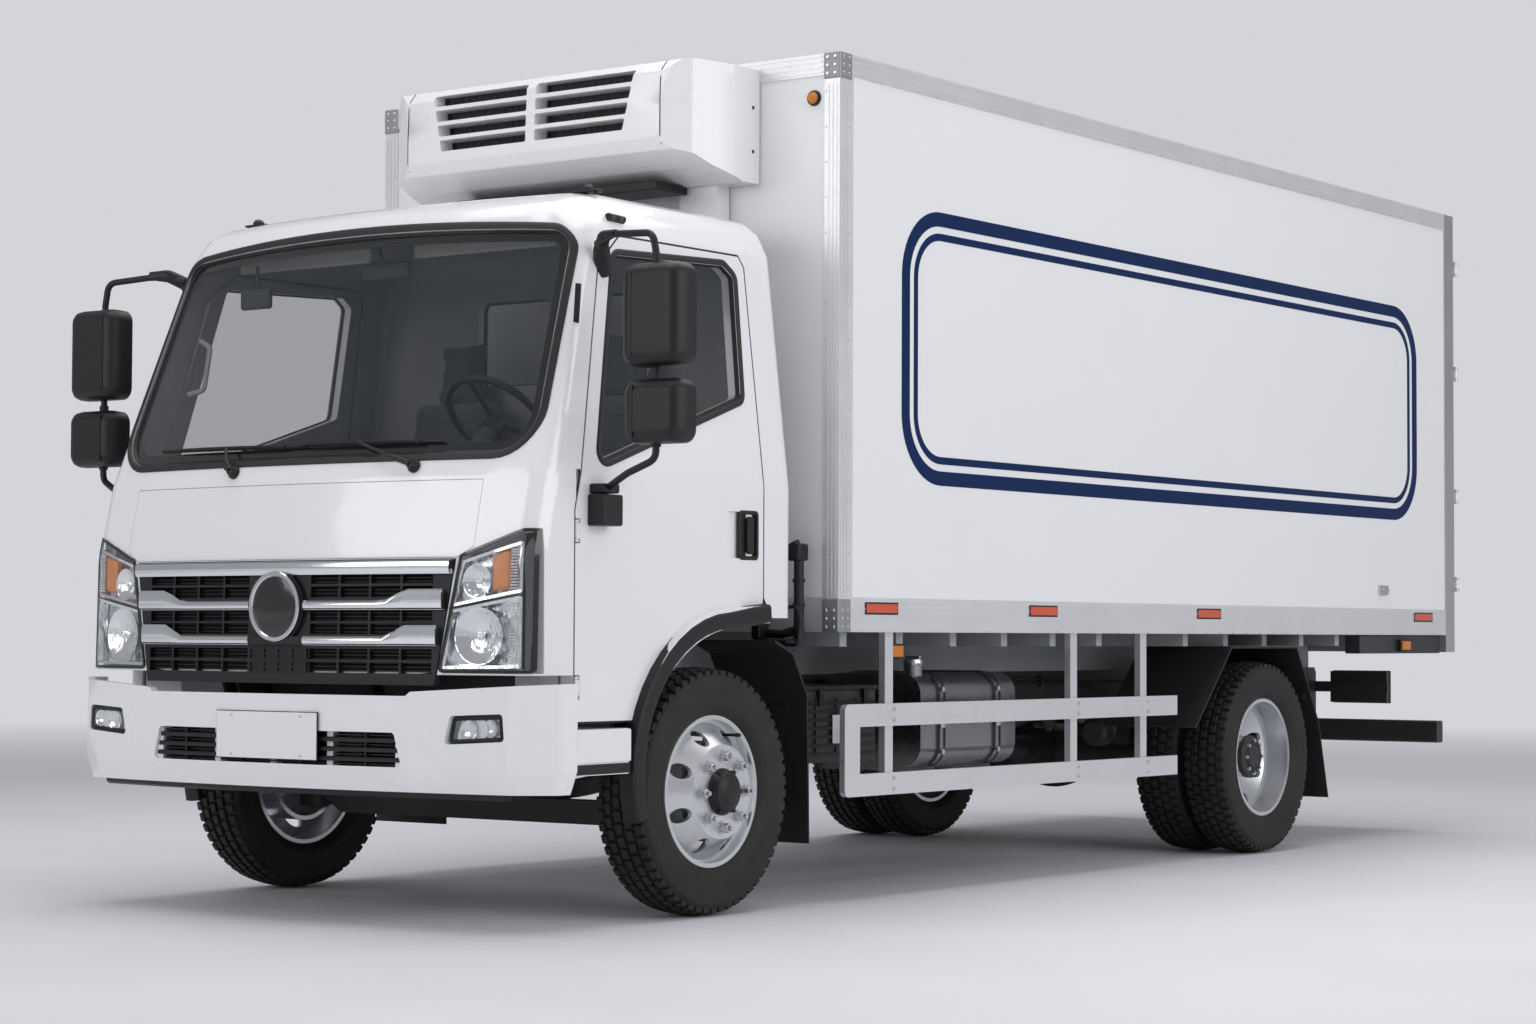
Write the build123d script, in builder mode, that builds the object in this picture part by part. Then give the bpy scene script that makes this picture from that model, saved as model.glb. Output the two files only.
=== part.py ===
"""Refrigerated two-axle truck: forward-control tilting cab on a ladder chassis,
insulated box body with a nose-mounted refrigeration unit and two rear doors.

Millimetres. +X is the truck's left, the front faces -Y, +Z is up. The ground is
at Z = 0 and the origin is under the middle of the overall length.
"""
import os
from functools import cache
from math import cos, radians, sin, sqrt

from build123d import *

os.makedirs("parts", exist_ok=True)

# ---------------------------------------------------------------- driving sizes
wheelbase = 4570
front_overhang = 1238           # front axle to the bumper's face
box_front = 736                 # front axle to the body's front wall
box_length = 6120
box_half_width = 1275
box_bottom = 1110
box_top = 3500
pin_behind_frame = 32           # rear door pin behind the rear frame
pin_eye_radius = 12

tyre_radius = 486
tyre_width = 240
rim_radius = 286                # bead seat
rim_half_width = 90
wheel_offset = 140              # rim centre to the disc's mounting face
front_track = 2200
rear_wheel_mount = 1005         # centre plane of a twin pair
king_pin_x = 940
steer_arm_length = 200

rail_outer = 430                # chassis rail's outer face
rail_width = 70
rail_bottom = 680
rail_top = 920
rail_front = -980               # front end of the rails, from the front axle

cab_half_width = 1186
cab_wall = 60
cab_skin = 22                   # outer layer of a door, over its rebate
door_gap = 8
tilt_y = -1060                  # cab pivot, from the front axle
tilt_z = 930
arch_y = 100                    # centre of the wheel arch in the door
arch_z = 560
arch_radius = 605

trim_depth = 75                 # aluminium edge section
post_width = 77
bottom_rail_top = 1252
top_rail_bottom = 3410
rear_frame_depth = 120
rear_post_width = 90
rear_leaf = 70                  # rear door thickness
rear_leaf_recess = 8
leaf_gap = 6

seat_gap = 0.3                  # clearance where one piece is seated on another
running_gap = 0.1               # radial clearance of a turning fit

# ------------------------------------------------------------------ derived
box_rear = box_front + box_length
rear_reach = box_rear + pin_behind_frame + pin_eye_radius
axle_front = -(rear_reach - front_overhang) / 2
axle_rear = axle_front + wheelbase
rail_inner = rail_outer - rail_width
spring_x = rail_outer - 35      # springs, hangers and cab pivots sit under the rails


def aft(distance):
    """Y of a point this far behind the front axle."""
    return axle_front + distance


def brick(x, y, z, mode=Mode.ADD):
    """A block between two X, two aft distances and two Z, in the open builder."""
    with Locations(((x[0] + x[1]) / 2, aft((y[0] + y[1]) / 2), (z[0] + z[1]) / 2)):
        return Box(x[1] - x[0], y[1] - y[0], z[1] - z[0], mode=mode)


def rod(x, y, z, radius, axis, length, mode=Mode.ADD):
    """A cylinder centred on a point, along X, Y or Z."""
    turn = {"X": (0, 90, 0), "Y": (90, 0, 0), "Z": (0, 0, 0)}[axis]
    with Locations(Location((x, aft(y), z), turn)):
        return Cylinder(radius, length, mode=mode)


def side_prism(points, x, soften=0):
    """Outline in (aft distance, Z), extruded from one X to another."""
    with BuildPart() as prism:
        with BuildSketch(Plane.YZ.offset(x[0])) as outline:
            with BuildLine():
                Polyline(*[(aft(y), z) for y, z in points], close=True)
            make_face()
            if soften:
                fillet(outline.vertices(), soften)
        extrude(amount=x[1] - x[0])
    return prism.part


def front_prism(points, y, soften=0):
    """Outline in (X, Z), extruded from one aft distance to another."""
    with BuildPart() as prism:
        with BuildSketch(Plane.XZ.offset(-aft(y[1]))) as outline:
            with BuildLine():
                Polyline(*points, close=True)
            make_face()
            if soften:
                fillet(outline.vertices(), soften)
        extrude(amount=y[1] - y[0])
    return prism.part


def plan_prism(points, z, soften=0):
    """Outline in (X, aft distance), extruded from one Z to another."""
    with BuildPart() as prism:
        with BuildSketch(Plane.XY.offset(z[0])) as outline:
            with BuildLine():
                Polyline(*[(x, aft(y)) for x, y in points], close=True)
            make_face()
            if soften:
                fillet(outline.vertices(), soften)
        extrude(amount=z[1] - z[0])
    return prism.part


def tube(points, radius, bend):
    """A round tube through (X, aft distance, Z) points with bends of one radius."""
    route = [(x, aft(y), z) for x, y, z in points]
    with BuildPart() as pipe:
        with BuildLine() as path:
            FilletPolyline(*route, radius=bend) if len(route) > 2 else Polyline(*route)
        with BuildSketch(Plane(origin=path.line @ 0, z_dir=path.line % 0)):
            Circle(radius)
        sweep()
    return pipe.part


def on_both_sides(part):
    """The piece with its mirror image on the truck's other side."""
    return [part, part.mirror(Plane.YZ)]


def save(name, builder):
    builder.part.label = name
    export_step(builder.part, f"parts/{name}.step")


# ================================================================= cab surfaces
# Plan sections of the cab's outer skin, from the sill to the crown of the roof.
cab_sections = (
    # height, front, rear, half width, corner radius, plan radius of the front
    (765, -1185, 550, cab_half_width, 110, 7000),
    (1400, -1172, 550, cab_half_width, 110, 7000),
    (1690, -1122, 550, cab_half_width, 110, 6000),
    (2640, -790, 552, 1072, 95, 4700),
    (2730, -742, 545, 1028, 105, 4700),
    (2775, -665, 522, 982, 115, 4700),
    (2804, -560, 482, 905, 125, 4700),
    (2822, -440, 420, 790, 130, 4700),
    (2831, -330, 340, 640, 130, 4700),
    (2835, -240, 240, 480, 130, 4700),
)
roof_from = 2700                # sections above this belong to the roof


@cache
def cab_volume(inset, bottom=700):
    """The cab as a solid, its skin moved inwards by the inset (outwards if negative)."""
    with BuildPart() as volume:
        for height, front, rear, half, radius, front_arc in cab_sections:
            level = height - inset if height > roof_from else height
            if height == cab_sections[0][0]:
                front += (bottom - height) * (cab_sections[1][1] - front) / (cab_sections[1][0] - height)
                level = bottom
            nose = aft(front + inset)
            wide = half - inset
            shoulder = nose + front_arc - sqrt(front_arc**2 - wide**2)
            with BuildSketch(Plane.XY.offset(level)) as section:
                with BuildLine():
                    ThreePointArc((-wide, shoulder), (0, nose), (wide, shoulder))
                    Polyline((wide, shoulder), (wide, aft(rear - inset)),
                             (-wide, aft(rear - inset)), (-wide, shoulder))
                make_face()
                fillet(section.vertices().group_by(Axis.Y)[0], max(radius - inset, 25))
                fillet(section.vertices().group_by(Axis.Y)[-1], max(60 - inset / 2, 20))
        loft(ruled=True)
    return volume.part


cab_sill = 765
nose_bottom = 905               # lower edge of the grille
corner_bottom = 945             # lower edge of the nose's corners
floor_bottom = 1165
floor_top = 1205
footwell_bottom = 1000
footwell_top = 1040
footwell_rear = -340
floor_half = 1110

# Door outline in (aft distance, Z).
door_front = -843
door_rear = 345
door_bend = 1560                 # the front edge leans back above this height
arch_cos = arch_radius * cos(radians(45))
arch_foot = arch_y - sqrt(arch_radius**2 - (arch_z - cab_sill)**2)


def door_prism(gap, x):
    """The left door's outline, drawn in by the gap, between two X."""
    with BuildPart() as prism:
        with BuildSketch(Plane.YZ.offset(x[0])) as outline:
            with BuildLine():
                Polyline((aft(arch_foot), cab_sill), (aft(door_front), cab_sill),
                         (aft(door_front), door_bend), (aft(-600), 2500), (aft(-455), 2628),
                         (aft(310), 2628), (aft(door_rear), 2580),
                         (aft(door_rear), arch_z + arch_radius),
                         (aft(arch_y), arch_z + arch_radius))
                ThreePointArc((aft(arch_y), arch_z + arch_radius),
                              (aft(arch_y) - arch_cos, arch_z + arch_cos),
                              (aft(arch_foot), cab_sill))
            make_face()
            if gap:
                offset(amount=-gap, kind=Kind.INTERSECTION, mode=Mode.REPLACE)
        extrude(amount=x[1] - x[0])
    return prism.part


def door_window(gap, x):
    """The left door's window, with the sill that drops towards the front."""
    corners = ((-690, 1735), (238, 2040), (262, 2530), (200, 2572), (-488, 2545))
    with BuildPart() as prism:
        with BuildSketch(Plane.YZ.offset(x[0])) as outline:
            with BuildLine():
                Polyline(*[(aft(y), z) for y, z in corners], close=True)
            make_face()
            fillet(outline.vertices(), 28)
            if gap:
                offset(amount=-gap, mode=Mode.REPLACE)
        extrude(amount=x[1] - x[0])
    return prism.part


def windscreen_prism(gap):
    """The windscreen's outline from the front."""
    with BuildPart() as prism:
        with BuildSketch(Plane.XZ.offset(-aft(-400))) as outline:
            with BuildLine():
                Polyline((-1030, 2625), (-1105, 1770), (1105, 1770), (1030, 2625))
                ThreePointArc((1030, 2625), (0, 2665), (-1030, 2625))
            make_face()
            fillet(outline.vertices().group_by(Axis.Y)[0], 150)
            fillet(outline.vertices().group_by(Axis.Y)[-1], 95)
            if gap:
                offset(amount=-gap, mode=Mode.REPLACE)
        extrude(amount=900)
    return prism.part


def rear_window_prism(gap):
    """The two rear windows' outlines."""
    with BuildPart() as prism:
        with BuildSketch(Plane.XZ.offset(-aft(700))):
            with Locations((-275, 2355), (275, 2355)):
                RectangleRounded(410 - 2 * gap, 370 - 2 * gap, 40)
        extrude(amount=400)
    return prism.part


headlamp_outline = ((783, 952), (1230, 952), (1230, 1484), (1130, 1484), (873, 1388))
lamp_gap = 2
lamp_rear = -1008               # the lamp ends here on the cab's corner
grille_top = 1372
grille_top_half = 851
grille_low_half = 768
panel_half = 925
panel_low_half = 856
panel_top = 1668


def grille_outline(margin):
    """The grille from the front; its ends follow the headlamps' inner edges."""
    low, high = grille_low_half + margin, grille_top_half + margin
    return ((-low, nose_bottom - margin), (low, nose_bottom - margin),
            (high, grille_top + margin), (-high, grille_top + margin))


def panel_outline(margin):
    """The nose panel between the grille and the windscreen."""
    low, half = panel_low_half + margin, panel_half + margin
    foot, top = grille_top + 8 - margin, panel_top + margin
    return ((-low, foot), (low, foot), (half, foot + 38), (half, top), (-half, top), (-half, foot + 38))



def headlamp_prism(gap):
    """A headlamp's outline from the front, drawn in by the gap."""
    with BuildPart() as prism:
        with BuildSketch(Plane.XZ.offset(-aft(lamp_rear - gap))) as outline:
            with BuildLine():
                Polyline(*headlamp_outline, close=True)
            make_face()
            fillet(outline.vertices(), 20)
            if gap:
                offset(amount=-gap, mode=Mode.REPLACE)
        extrude(amount=400)
    return prism.part


outer = cab_volume(0, cab_sill)

# ------------------------------------------------------------------ cab shell
left_of_cab = (700, 1400)
inner_door = cab_skin + 6
step_tread = 780
rebate_flange = 12
pivot_x = spring_x

# Door hinges: an eye on the door between two ears of the doorway's front edge.
hinge_x = cab_half_width - 10
hinge_y = door_front + 23
door_hinge_levels = (900, 1480)
hinge_pin_radius = 5
hinge_eye_radius = 10
hinge_eye_half = 29
hinge_ear_thick = 10
hinge_ear_offset = hinge_eye_half + 2 + hinge_ear_thick / 2

with BuildPart() as toe_board:
    brick((-cab_half_width + cab_wall, cab_half_width - cab_wall), (-1160, -1000),
          (footwell_bottom, footwell_top))

with BuildPart() as cab_shell:
    add(outer)
    add(cab_volume(cab_wall), mode=Mode.SUBTRACT)
    # room for the pivot's ears inside the nose
    for x in (-pivot_x, pivot_x):
        brick((x - 66, x + 66), (-1098, -1020), (880, 997), Mode.SUBTRACT)
    # floor, footwell and entry steps
    brick((-floor_half, floor_half), (footwell_rear - 40, 500), (floor_bottom, floor_top))
    brick((-floor_half, floor_half), (-1010, footwell_rear), (footwell_bottom, footwell_top))
    brick((-floor_half, floor_half), (footwell_rear - 40, footwell_rear),
          (footwell_bottom, floor_top))
    add(toe_board.part & cab_volume(2))
    for side in (-1, 1):
        near, far = sorted((side * 900, side * floor_half))
        brick((near, far), (-838, -500), (step_tread, step_tread + 20))
        brick((near, far), (-838, -823), (step_tread, footwell_bottom))
        brick((near, far), (-515, -500), (step_tread, footwell_bottom))
        riser = sorted((side * 900, side * 915))
        brick(riser, (-838, -500), (step_tread, footwell_bottom))
    # doorways, stepped so that the door's skin laps over its inner part
    for part in on_both_sides(door_prism(0, left_of_cab) - cab_volume(inner_door)):
        add(part, mode=Mode.SUBTRACT)
    for part in on_both_sides(door_prism(rebate_flange, left_of_cab) - cab_volume(cab_wall + 2)):
        add(part, mode=Mode.SUBTRACT)
    # lower edges: nose, corners and rear quarter above the wheel
    brick((-1300, 1300), (-1300, door_front - 1), (600, corner_bottom), Mode.SUBTRACT)
    brick((-1300, 1300), (arch_foot - 60, 700), (600, floor_bottom), Mode.SUBTRACT)
    # hinge arms of the cab pivot
    for x in (-pivot_x, pivot_x):
        rod(x, tilt_y, tilt_z, 24, "X", 50)
        brick((x - 25, x + 25), (tilt_y - 18, tilt_y + 18), (tilt_z, footwell_bottom + 5))
        rod(x, tilt_y, tilt_z, 12 + running_gap, "X", 60, Mode.SUBTRACT)
    for prism in (windscreen_prism(0), rear_window_prism(0)):
        add(prism, mode=Mode.SUBTRACT)
    # ears and pins of the door hinges
    for side in (-1, 1):
        for level in door_hinge_levels:
            for z in (level - hinge_ear_offset, level + hinge_ear_offset):
                rod(side * hinge_x, hinge_y, z, hinge_eye_radius, "Z", hinge_ear_thick)
                brick(sorted((side * (hinge_x - 30), side * hinge_x)), (hinge_y - 16, hinge_y + 10),
                      (z - hinge_ear_thick / 2, z + hinge_ear_thick / 2))
            rod(side * hinge_x, hinge_y, level, hinge_pin_radius, "Z", 2 * hinge_ear_offset)
        # relief round the hinge axis where the doorway's edge leans back past it
        rod(side * hinge_x, hinge_y, door_bend + 80, hinge_eye_radius + 6, "Z", 140, Mode.SUBTRACT)
    # seats of the headlamps, nose panel and grille
    for part in on_both_sides(headlamp_prism(0)):
        add(part, mode=Mode.SUBTRACT)
    for outline in (grille_outline(3), panel_outline(2)):
        add(front_prism(outline, (-1300, -950)) - cab_volume(cab_skin), mode=Mode.SUBTRACT)
save("cab_shell", cab_shell)

# ----------------------------------------------------------------- nose panel
with BuildPart() as cab_front_panel:
    add(front_prism(panel_outline(0), (-1300, -950)) & outer)
    add(cab_volume(cab_skin - seat_gap), mode=Mode.SUBTRACT)
save("cab_front_panel", cab_front_panel)

# --------------------------------------------------------------------- grille
bar_proud = 24
slot_pitch = 150
slot_rows = ((948, 988), (998, 1038), (1094, 1134), (1142, 1182), (1232, 1274), (1284, 1326))
wing_bars = (1070, 1204)                # centre heights of the two winged bars
wing_start, wing_full = 545, 640        # a bar thickens between these half widths
badge_radius = 142
badge_level = 1198


def grille_half(level):
    """Half width of the grille at a height."""
    slope = (grille_top_half - grille_low_half) / (grille_top - nose_bottom)
    return grille_low_half + (level - nose_bottom) * slope


def wing_bar(level):
    """Outline of a bar that thickens upwards towards its ends."""
    end = grille_half(level) - 8
    low, top, high = level - 17, level + 14, level + 46
    return ((-end, low), (end, low), (end + 4, high), (wing_full, high), (wing_start, top),
            (-wing_start, top), (-wing_full, high), (-end - 4, high))


with BuildPart() as grille:
    add(front_prism(grille_outline(0), (-1300, -950)) & cab_volume(-4))
    # slots between the bars
    columns = [side * (badge_radius + 18 + slot_pitch * (column + 0.5))
               for side in (-1, 1) for column in range(4)]
    for low, high in slot_rows:
        with Locations(*[(x, aft(-1150), (low + high) / 2) for x in columns]):
            Box(slot_pitch - 10, 300, high - low, mode=Mode.SUBTRACT)
    top_half = grille_half(1352) - 4
    top_bar = ((-top_half, 1336), (top_half, 1336), (top_half, 1368), (-top_half, 1368))
    for outline in (top_bar, wing_bar(wing_bars[0]), wing_bar(wing_bars[1])):
        add((front_prism(outline, (-1300, -950)) & cab_volume(-bar_proud)) - cab_volume(0))
    # plain round boss on the centre line
    rod(0, -1148, badge_level, badge_radius, "Y", 96)
    add(cab_volume(cab_skin - seat_gap), mode=Mode.SUBTRACT)
save("grille", grille)

# ------------------------------------------------------------------ headlamps
with BuildPart() as headlamps:
    for part in on_both_sides((headlamp_prism(lamp_gap) & cab_volume(-6))
                              - cab_volume(cab_wall)):
        add(part)
save("headlamps", headlamps)

# ------------------------------------------------------------------ cab glass
glass_depth = 20
glass_thick = 6
glass_outer = cab_volume(glass_depth)
glass_layer = glass_outer - cab_volume(glass_depth + glass_thick)

with BuildPart() as cab_glass:
    add(windscreen_prism(seat_gap) & glass_layer)
    add(rear_window_prism(seat_gap) & glass_layer)
save("cab_glass", cab_glass)

# ------------------------------------------------------------------ dashboard
wheel_centre = (595, -600, 1925)
column_end = (595, -650, 1875)
with BuildPart() as dashboard:
    add(side_prism(((-1050, 1300), (-760, 1330), (-735, 1520), (-780, 1695), (-1040, 1752)),
                   (-1090, 1090), 25) & cab_volume(cab_wall + 1, footwell_top))
    # instrument binnacle and steering column
    add(side_prism(((-900, 1660), (-750, 1660), (-725, 1780), (-850, 1835)), (380, 780), 18))
    add(tube(((595, -850, 1675), column_end), 38, 0))
save("dashboard", dashboard)

# ---------------------------------------------------------------------- seats
seat_centres = (-455, 455)
with BuildPart() as seats:
    for x in seat_centres:
        half = 255
        add(side_prism(((-330, 1440), (190, 1400), (190, 1540), (-330, 1580)),
                       (x - half, x + half), 45))
        add(side_prism(((160, 1480), (290, 1500), (400, 2120), (300, 2140)),
                       (x - half, x + half), 45))
        add(side_prism(((315, 2050), (385, 2050), (430, 2370), (350, 2370)),
                       (x - 140, x + 140), 25))
        brick((x - 180, x + 180), (-230, 190), (floor_top + seat_gap, 1450))
save("seats", seats)

# ------------------------------------------------------------- steering wheel
column_tilt = 45                        # wheel's axis above the horizontal
rim_r = 215
column_axis = Vector(0, cos(radians(column_tilt)), sin(radians(column_tilt)))
with BuildPart() as steering_wheel:
    hub = Plane(origin=(wheel_centre[0], aft(wheel_centre[1]), wheel_centre[2]),
                x_dir=(1, 0, 0), z_dir=column_axis)
    with Locations(hub):
        Torus(rim_r, 15)
        reach = 50 * sqrt(2) - seat_gap
        with Locations((0, 0, -(reach + 5) / 2)):
            Cylinder(45, reach - 5)
        for angle in (0, 120, 240):
            with Locations(Location((0, 0, -14), (0, 0, angle - 90))):
                with Locations((rim_r / 2, 0, 0)):
                    Box(rim_r - 15, 26, 12)
save("steering_wheel", steering_wheel)

# ------------------------------------------------------------------ cab doors
flare_out = 1222
flare_inner_radius = 560
handle_y = (104, 300)
handle_z = (1400, 1585)

with BuildPart() as door_solid:
    add((door_prism(door_gap, left_of_cab) & outer) - cab_volume(cab_skin))
    add((door_prism(door_gap + 18, left_of_cab) & cab_volume(cab_skin))
        - cab_volume(cab_wall))
    add(door_window(0, left_of_cab), mode=Mode.SUBTRACT)
    # recess of the outside handle
    brick((cab_half_width - 16, cab_half_width + 40), handle_y, handle_z, Mode.SUBTRACT)
    brick((cab_half_width - 17, cab_half_width - 2), (225, 262), (1410, 1575))
    # front edge thinned to turn clear of the doorway, and the hinges' eyes
    brick((cab_half_width - cab_skin - 2, cab_half_width - 15), (door_front, door_front + 21),
          (cab_sill, 1700), Mode.SUBTRACT)
    for level in door_hinge_levels:
        brick((cab_half_width - cab_wall - 2, cab_half_width + 4), (door_front, door_front + 37),
              (level - 46, level + 46), Mode.SUBTRACT)
        rod(hinge_x, hinge_y, level, hinge_eye_radius, "Z", 2 * hinge_eye_half)
        brick((hinge_x - 10, hinge_x + 8), (hinge_y, hinge_y + 20),
              (level - hinge_eye_half, level + hinge_eye_half))
        rod(hinge_x, hinge_y, level, hinge_pin_radius + running_gap, "Z", 3 * hinge_eye_half,
            Mode.SUBTRACT)
    # flare round the wheel arch
    with BuildSketch(Plane.YZ.offset(cab_half_width - 4)) as flare:
        with BuildLine():
            Polyline((aft(door_rear - door_gap), arch_z + arch_radius),
                     (aft(door_rear - door_gap), arch_z + arch_radius + 48),
                     (aft(arch_y), arch_z + arch_radius + 40))
            ThreePointArc((aft(arch_y), arch_z + arch_radius + 40),
                          (aft(arch_y) - (arch_radius + 22) * cos(radians(45)),
                           arch_z + (arch_radius + 22) * sin(radians(45))),
                          (aft(arch_foot) - 6, cab_sill + 10))
            Line((aft(arch_foot) - 6, cab_sill + 10), (aft(arch_foot) + 38, cab_sill + 10))
            ThreePointArc((aft(arch_foot) + 38, cab_sill + 10),
                          (aft(arch_y) - flare_inner_radius * cos(radians(45)),
                           arch_z + flare_inner_radius * sin(radians(45))),
                          (aft(arch_y), arch_z + arch_radius - 40))
            Polyline((aft(arch_y), arch_z + arch_radius - 40),
                     (aft(door_rear - door_gap), arch_z + arch_radius - 20),
                     (aft(door_rear - door_gap), arch_z + arch_radius))
        make_face()
    extrude(amount=flare_out - cab_half_width + 4)

pane_layer = (door_window(seat_gap, left_of_cab) & glass_outer) \
    - cab_volume(glass_depth + glass_thick)

# Mirror arm, brackets and the two heads of the left side.
arm_points = ((1125, -600, 2560), (1473, -735, 2572), (1490, -745, 2068),
              (1500, -750, 1672), (1235, -705, 1622))
with BuildPart() as mirror_solid:
    add(tube(arm_points, 13, 60))
    add(plan_prism(((1095, -640), (1150, -640), (1150, -560), (1085, -560)), (2500, 2590), 12)
        - cab_volume(-seat_gap))
    add(plan_prism(((1100, -762), (1255, -762), (1255, -648), (1100, -648)), (1500, 1652), 14)
        - cab_volume(-seat_gap))
    for x, y, z, w, h in ((1507, -700, 2270, 256, 384), (1512, -705, 1914, 256, 240)):
        add(front_prism(((x - w / 2, z - h / 2), (x + w / 2, z - h / 2),
                         (x + w / 2, z + h / 2), (x - w / 2, z + h / 2)),
                        (y - 45, y + 35), 36))

for side, name in ((1, "left"), (-1, "right")):
    for solid, label in ((door_solid.part, f"cab_door_{name}"), (pane_layer, f"door_glass_{name}"),
                         (mirror_solid.part, f"mirror_{name}")):
        with BuildPart() as piece:
            add(solid if side > 0 else solid.mirror(Plane.YZ))
        save(label, piece)

# ==================================================================== chassis
cross_members = (1330, 2250, 3080, wheelbase - 670, wheelbase + 670, box_rear - 806)
front_spring_half = 740
rear_spring_half = 780
eye_level = 653                 # height of the spring eyes
frame_rear = box_rear - 56
slat_rear = -1170               # back of the slats in the bumper's lower opening

with BuildPart() as chassis_frame:
    for side in (-1, 1):
        web = sorted((side * rail_outer, side * (rail_outer - 8)))
        flange = sorted((side * rail_outer, side * rail_inner))
        brick(web, (rail_front, frame_rear), (rail_bottom, rail_top))
        brick(flange, (rail_front, frame_rear), (rail_bottom, rail_bottom + 8))
        brick(flange, (rail_front, frame_rear), (rail_top - 8, rail_top))
        # ears and pin of the cab pivot
        for x in (side * pivot_x - 38, side * pivot_x + 38):
            add(side_prism(((tilt_y - 22, tilt_z + 22), (tilt_y + 24, tilt_z + 22),
                            (rail_front + 90, rail_top - 4), (rail_front + 40, rail_bottom + 60),
                            (rail_front - 30, 770), (tilt_y + 6, tilt_z - 22)),
                           (x - 8, x + 8)))
        rod(side * pivot_x, tilt_y, tilt_z, 12, "X", 92)
        brick(sorted((side * (pivot_x - 46), side * (pivot_x + 46))),
              (rail_front - 30, rail_front + 30), (740, 790))
        # hangers of the springs, below the rails
        for y in (-front_spring_half, front_spring_half,
                  wheelbase - rear_spring_half, wheelbase + rear_spring_half):
            rod(side * spring_x, y, eye_level, 12, "X", 84)
            add(side_prism(((y - 60, rail_bottom + 4), (y + 60, rail_bottom + 4),
                            (y + 22, rail_bottom - 62), (y - 22, rail_bottom - 62)),
                           sorted((side * rail_outer, side * (rail_outer + 12)))))
        # bumper arms
        brick(sorted((side * (rail_outer - 80), side * rail_outer)), (slat_rear + seat_gap, rail_front),
              (rail_bottom - 60, 740))
    brick((-rail_outer, rail_outer), (rail_front, rail_front + 50), (rail_bottom - 60, 740))
    for y in cross_members:
        brick((-rail_outer + 6, rail_outer - 6), (y - 35, y + 35), (rail_top - 120, rail_top - 10))
    brick((-rail_outer, rail_outer), (frame_rear - 10, frame_rear), (rail_bottom, rail_top))
save("chassis_frame", chassis_frame)

# --------------------------------------------------------------- axles, springs
beam_top = tyre_radius - 56
beam_low = tyre_radius - 151
king_pin_radius = 20
boss_radius = 32                # round end of the beam, between the knuckle's lugs
boss_low, boss_high = tyre_radius - 71, tyre_radius + 59
beam_end = king_pin_x - 18
with BuildPart() as front_axle:
    add(front_prism(((-beam_end, boss_low), (-king_pin_x + 40, boss_low), (-760, beam_low), (760, beam_low),
                     (king_pin_x - 40, boss_low), (beam_end, boss_low), (beam_end, boss_high),
                     (king_pin_x - 50, boss_high), (740, beam_top), (-740, beam_top),
                     (-king_pin_x + 50, boss_high), (-beam_end, boss_high)), (-45, 45)))
    for side in (-1, 1):
        rod(side * king_pin_x, 0, (boss_low + boss_high) / 2, boss_radius, "Z", boss_high - boss_low)
        rod(side * king_pin_x, 0, (boss_low + boss_high) / 2, king_pin_radius, "Z", 270)
save("front_axle", front_axle)

banjo_radius = 190
rear_pad_top = tyre_radius + 80
with BuildPart() as rear_axle:
    with BuildSketch(Plane(origin=(0, axle_rear, tyre_radius), x_dir=(1, 0, 0), z_dir=(0, -1, 0))):
        with BuildLine():
            Polyline((0, 0), (735, 0), (735, 72), (340, 76), (150, 150))
            ThreePointArc((150, 150), (0, banjo_radius), (-150, 150))
            Polyline((-150, 150), (-340, 76), (-735, 72), (-735, 0), (0, 0))
        make_face()
    revolve(axis=Axis((0, axle_rear, tyre_radius), (1, 0, 0)))
    with Locations(Location((0, axle_rear - 190, tyre_radius + 14), (90, 0, 0))):
        Cone(140, 80, 260)
    for side in (-1, 1):
        # spindle through the hub
        rod(side * 900, wheelbase, tyre_radius, 45, "X", 330)
        rod(side * 740, wheelbase, tyre_radius, 190, "X", 12)
        brick(sorted((side * (spring_x - 45), side * (spring_x + 45))),
              (wheelbase - 60, wheelbase + 60), (tyre_radius, rear_pad_top))
save("rear_axle", rear_axle)

leaf_x = (spring_x - 35, spring_x + 35)
with BuildPart() as leaf_springs:
    for centre, seat, half_span, leaves in ((0, beam_top, front_spring_half, 5),
                                            (wheelbase, rear_pad_top, rear_spring_half, 6)):
        for side in (-1, 1):
            x = sorted((side * leaf_x[0], side * leaf_x[1]))
            top = seat + seat_gap + 13 * leaves
            eye_rise = eye_level - top + 6.5
            for leaf in range(leaves):
                span = half_span * (1 - 0.12 * leaf)
                low = top - 13 * (leaf + 1)
                rise = eye_rise * (span / half_span) ** 2
                with BuildSketch(Plane.YZ.offset(x[0])):
                    with BuildLine():
                        for z in (low, low + 13.2):
                            ThreePointArc((aft(centre - span), z + rise), (aft(centre), z),
                                          (aft(centre + span), z + rise))
                        for end in (-span, span):
                            Line((aft(centre + end), low + rise), (aft(centre + end), low + 13.2 + rise))
                    make_face()
                extrude(amount=x[1] - x[0])
            brick((x[0] - 4, x[1] + 4), (centre - 55, centre + 55), (seat + seat_gap, top + 14))
            for y in (centre - half_span, centre + half_span):
                rod(side * (leaf_x[0] + leaf_x[1]) / 2, y, eye_level, 21, "X", x[1] - x[0])
                rod(side * (leaf_x[0] + leaf_x[1]) / 2, y, eye_level, 12 + seat_gap, "X", 90, Mode.SUBTRACT)
save("leaf_springs", leaf_springs)

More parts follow.
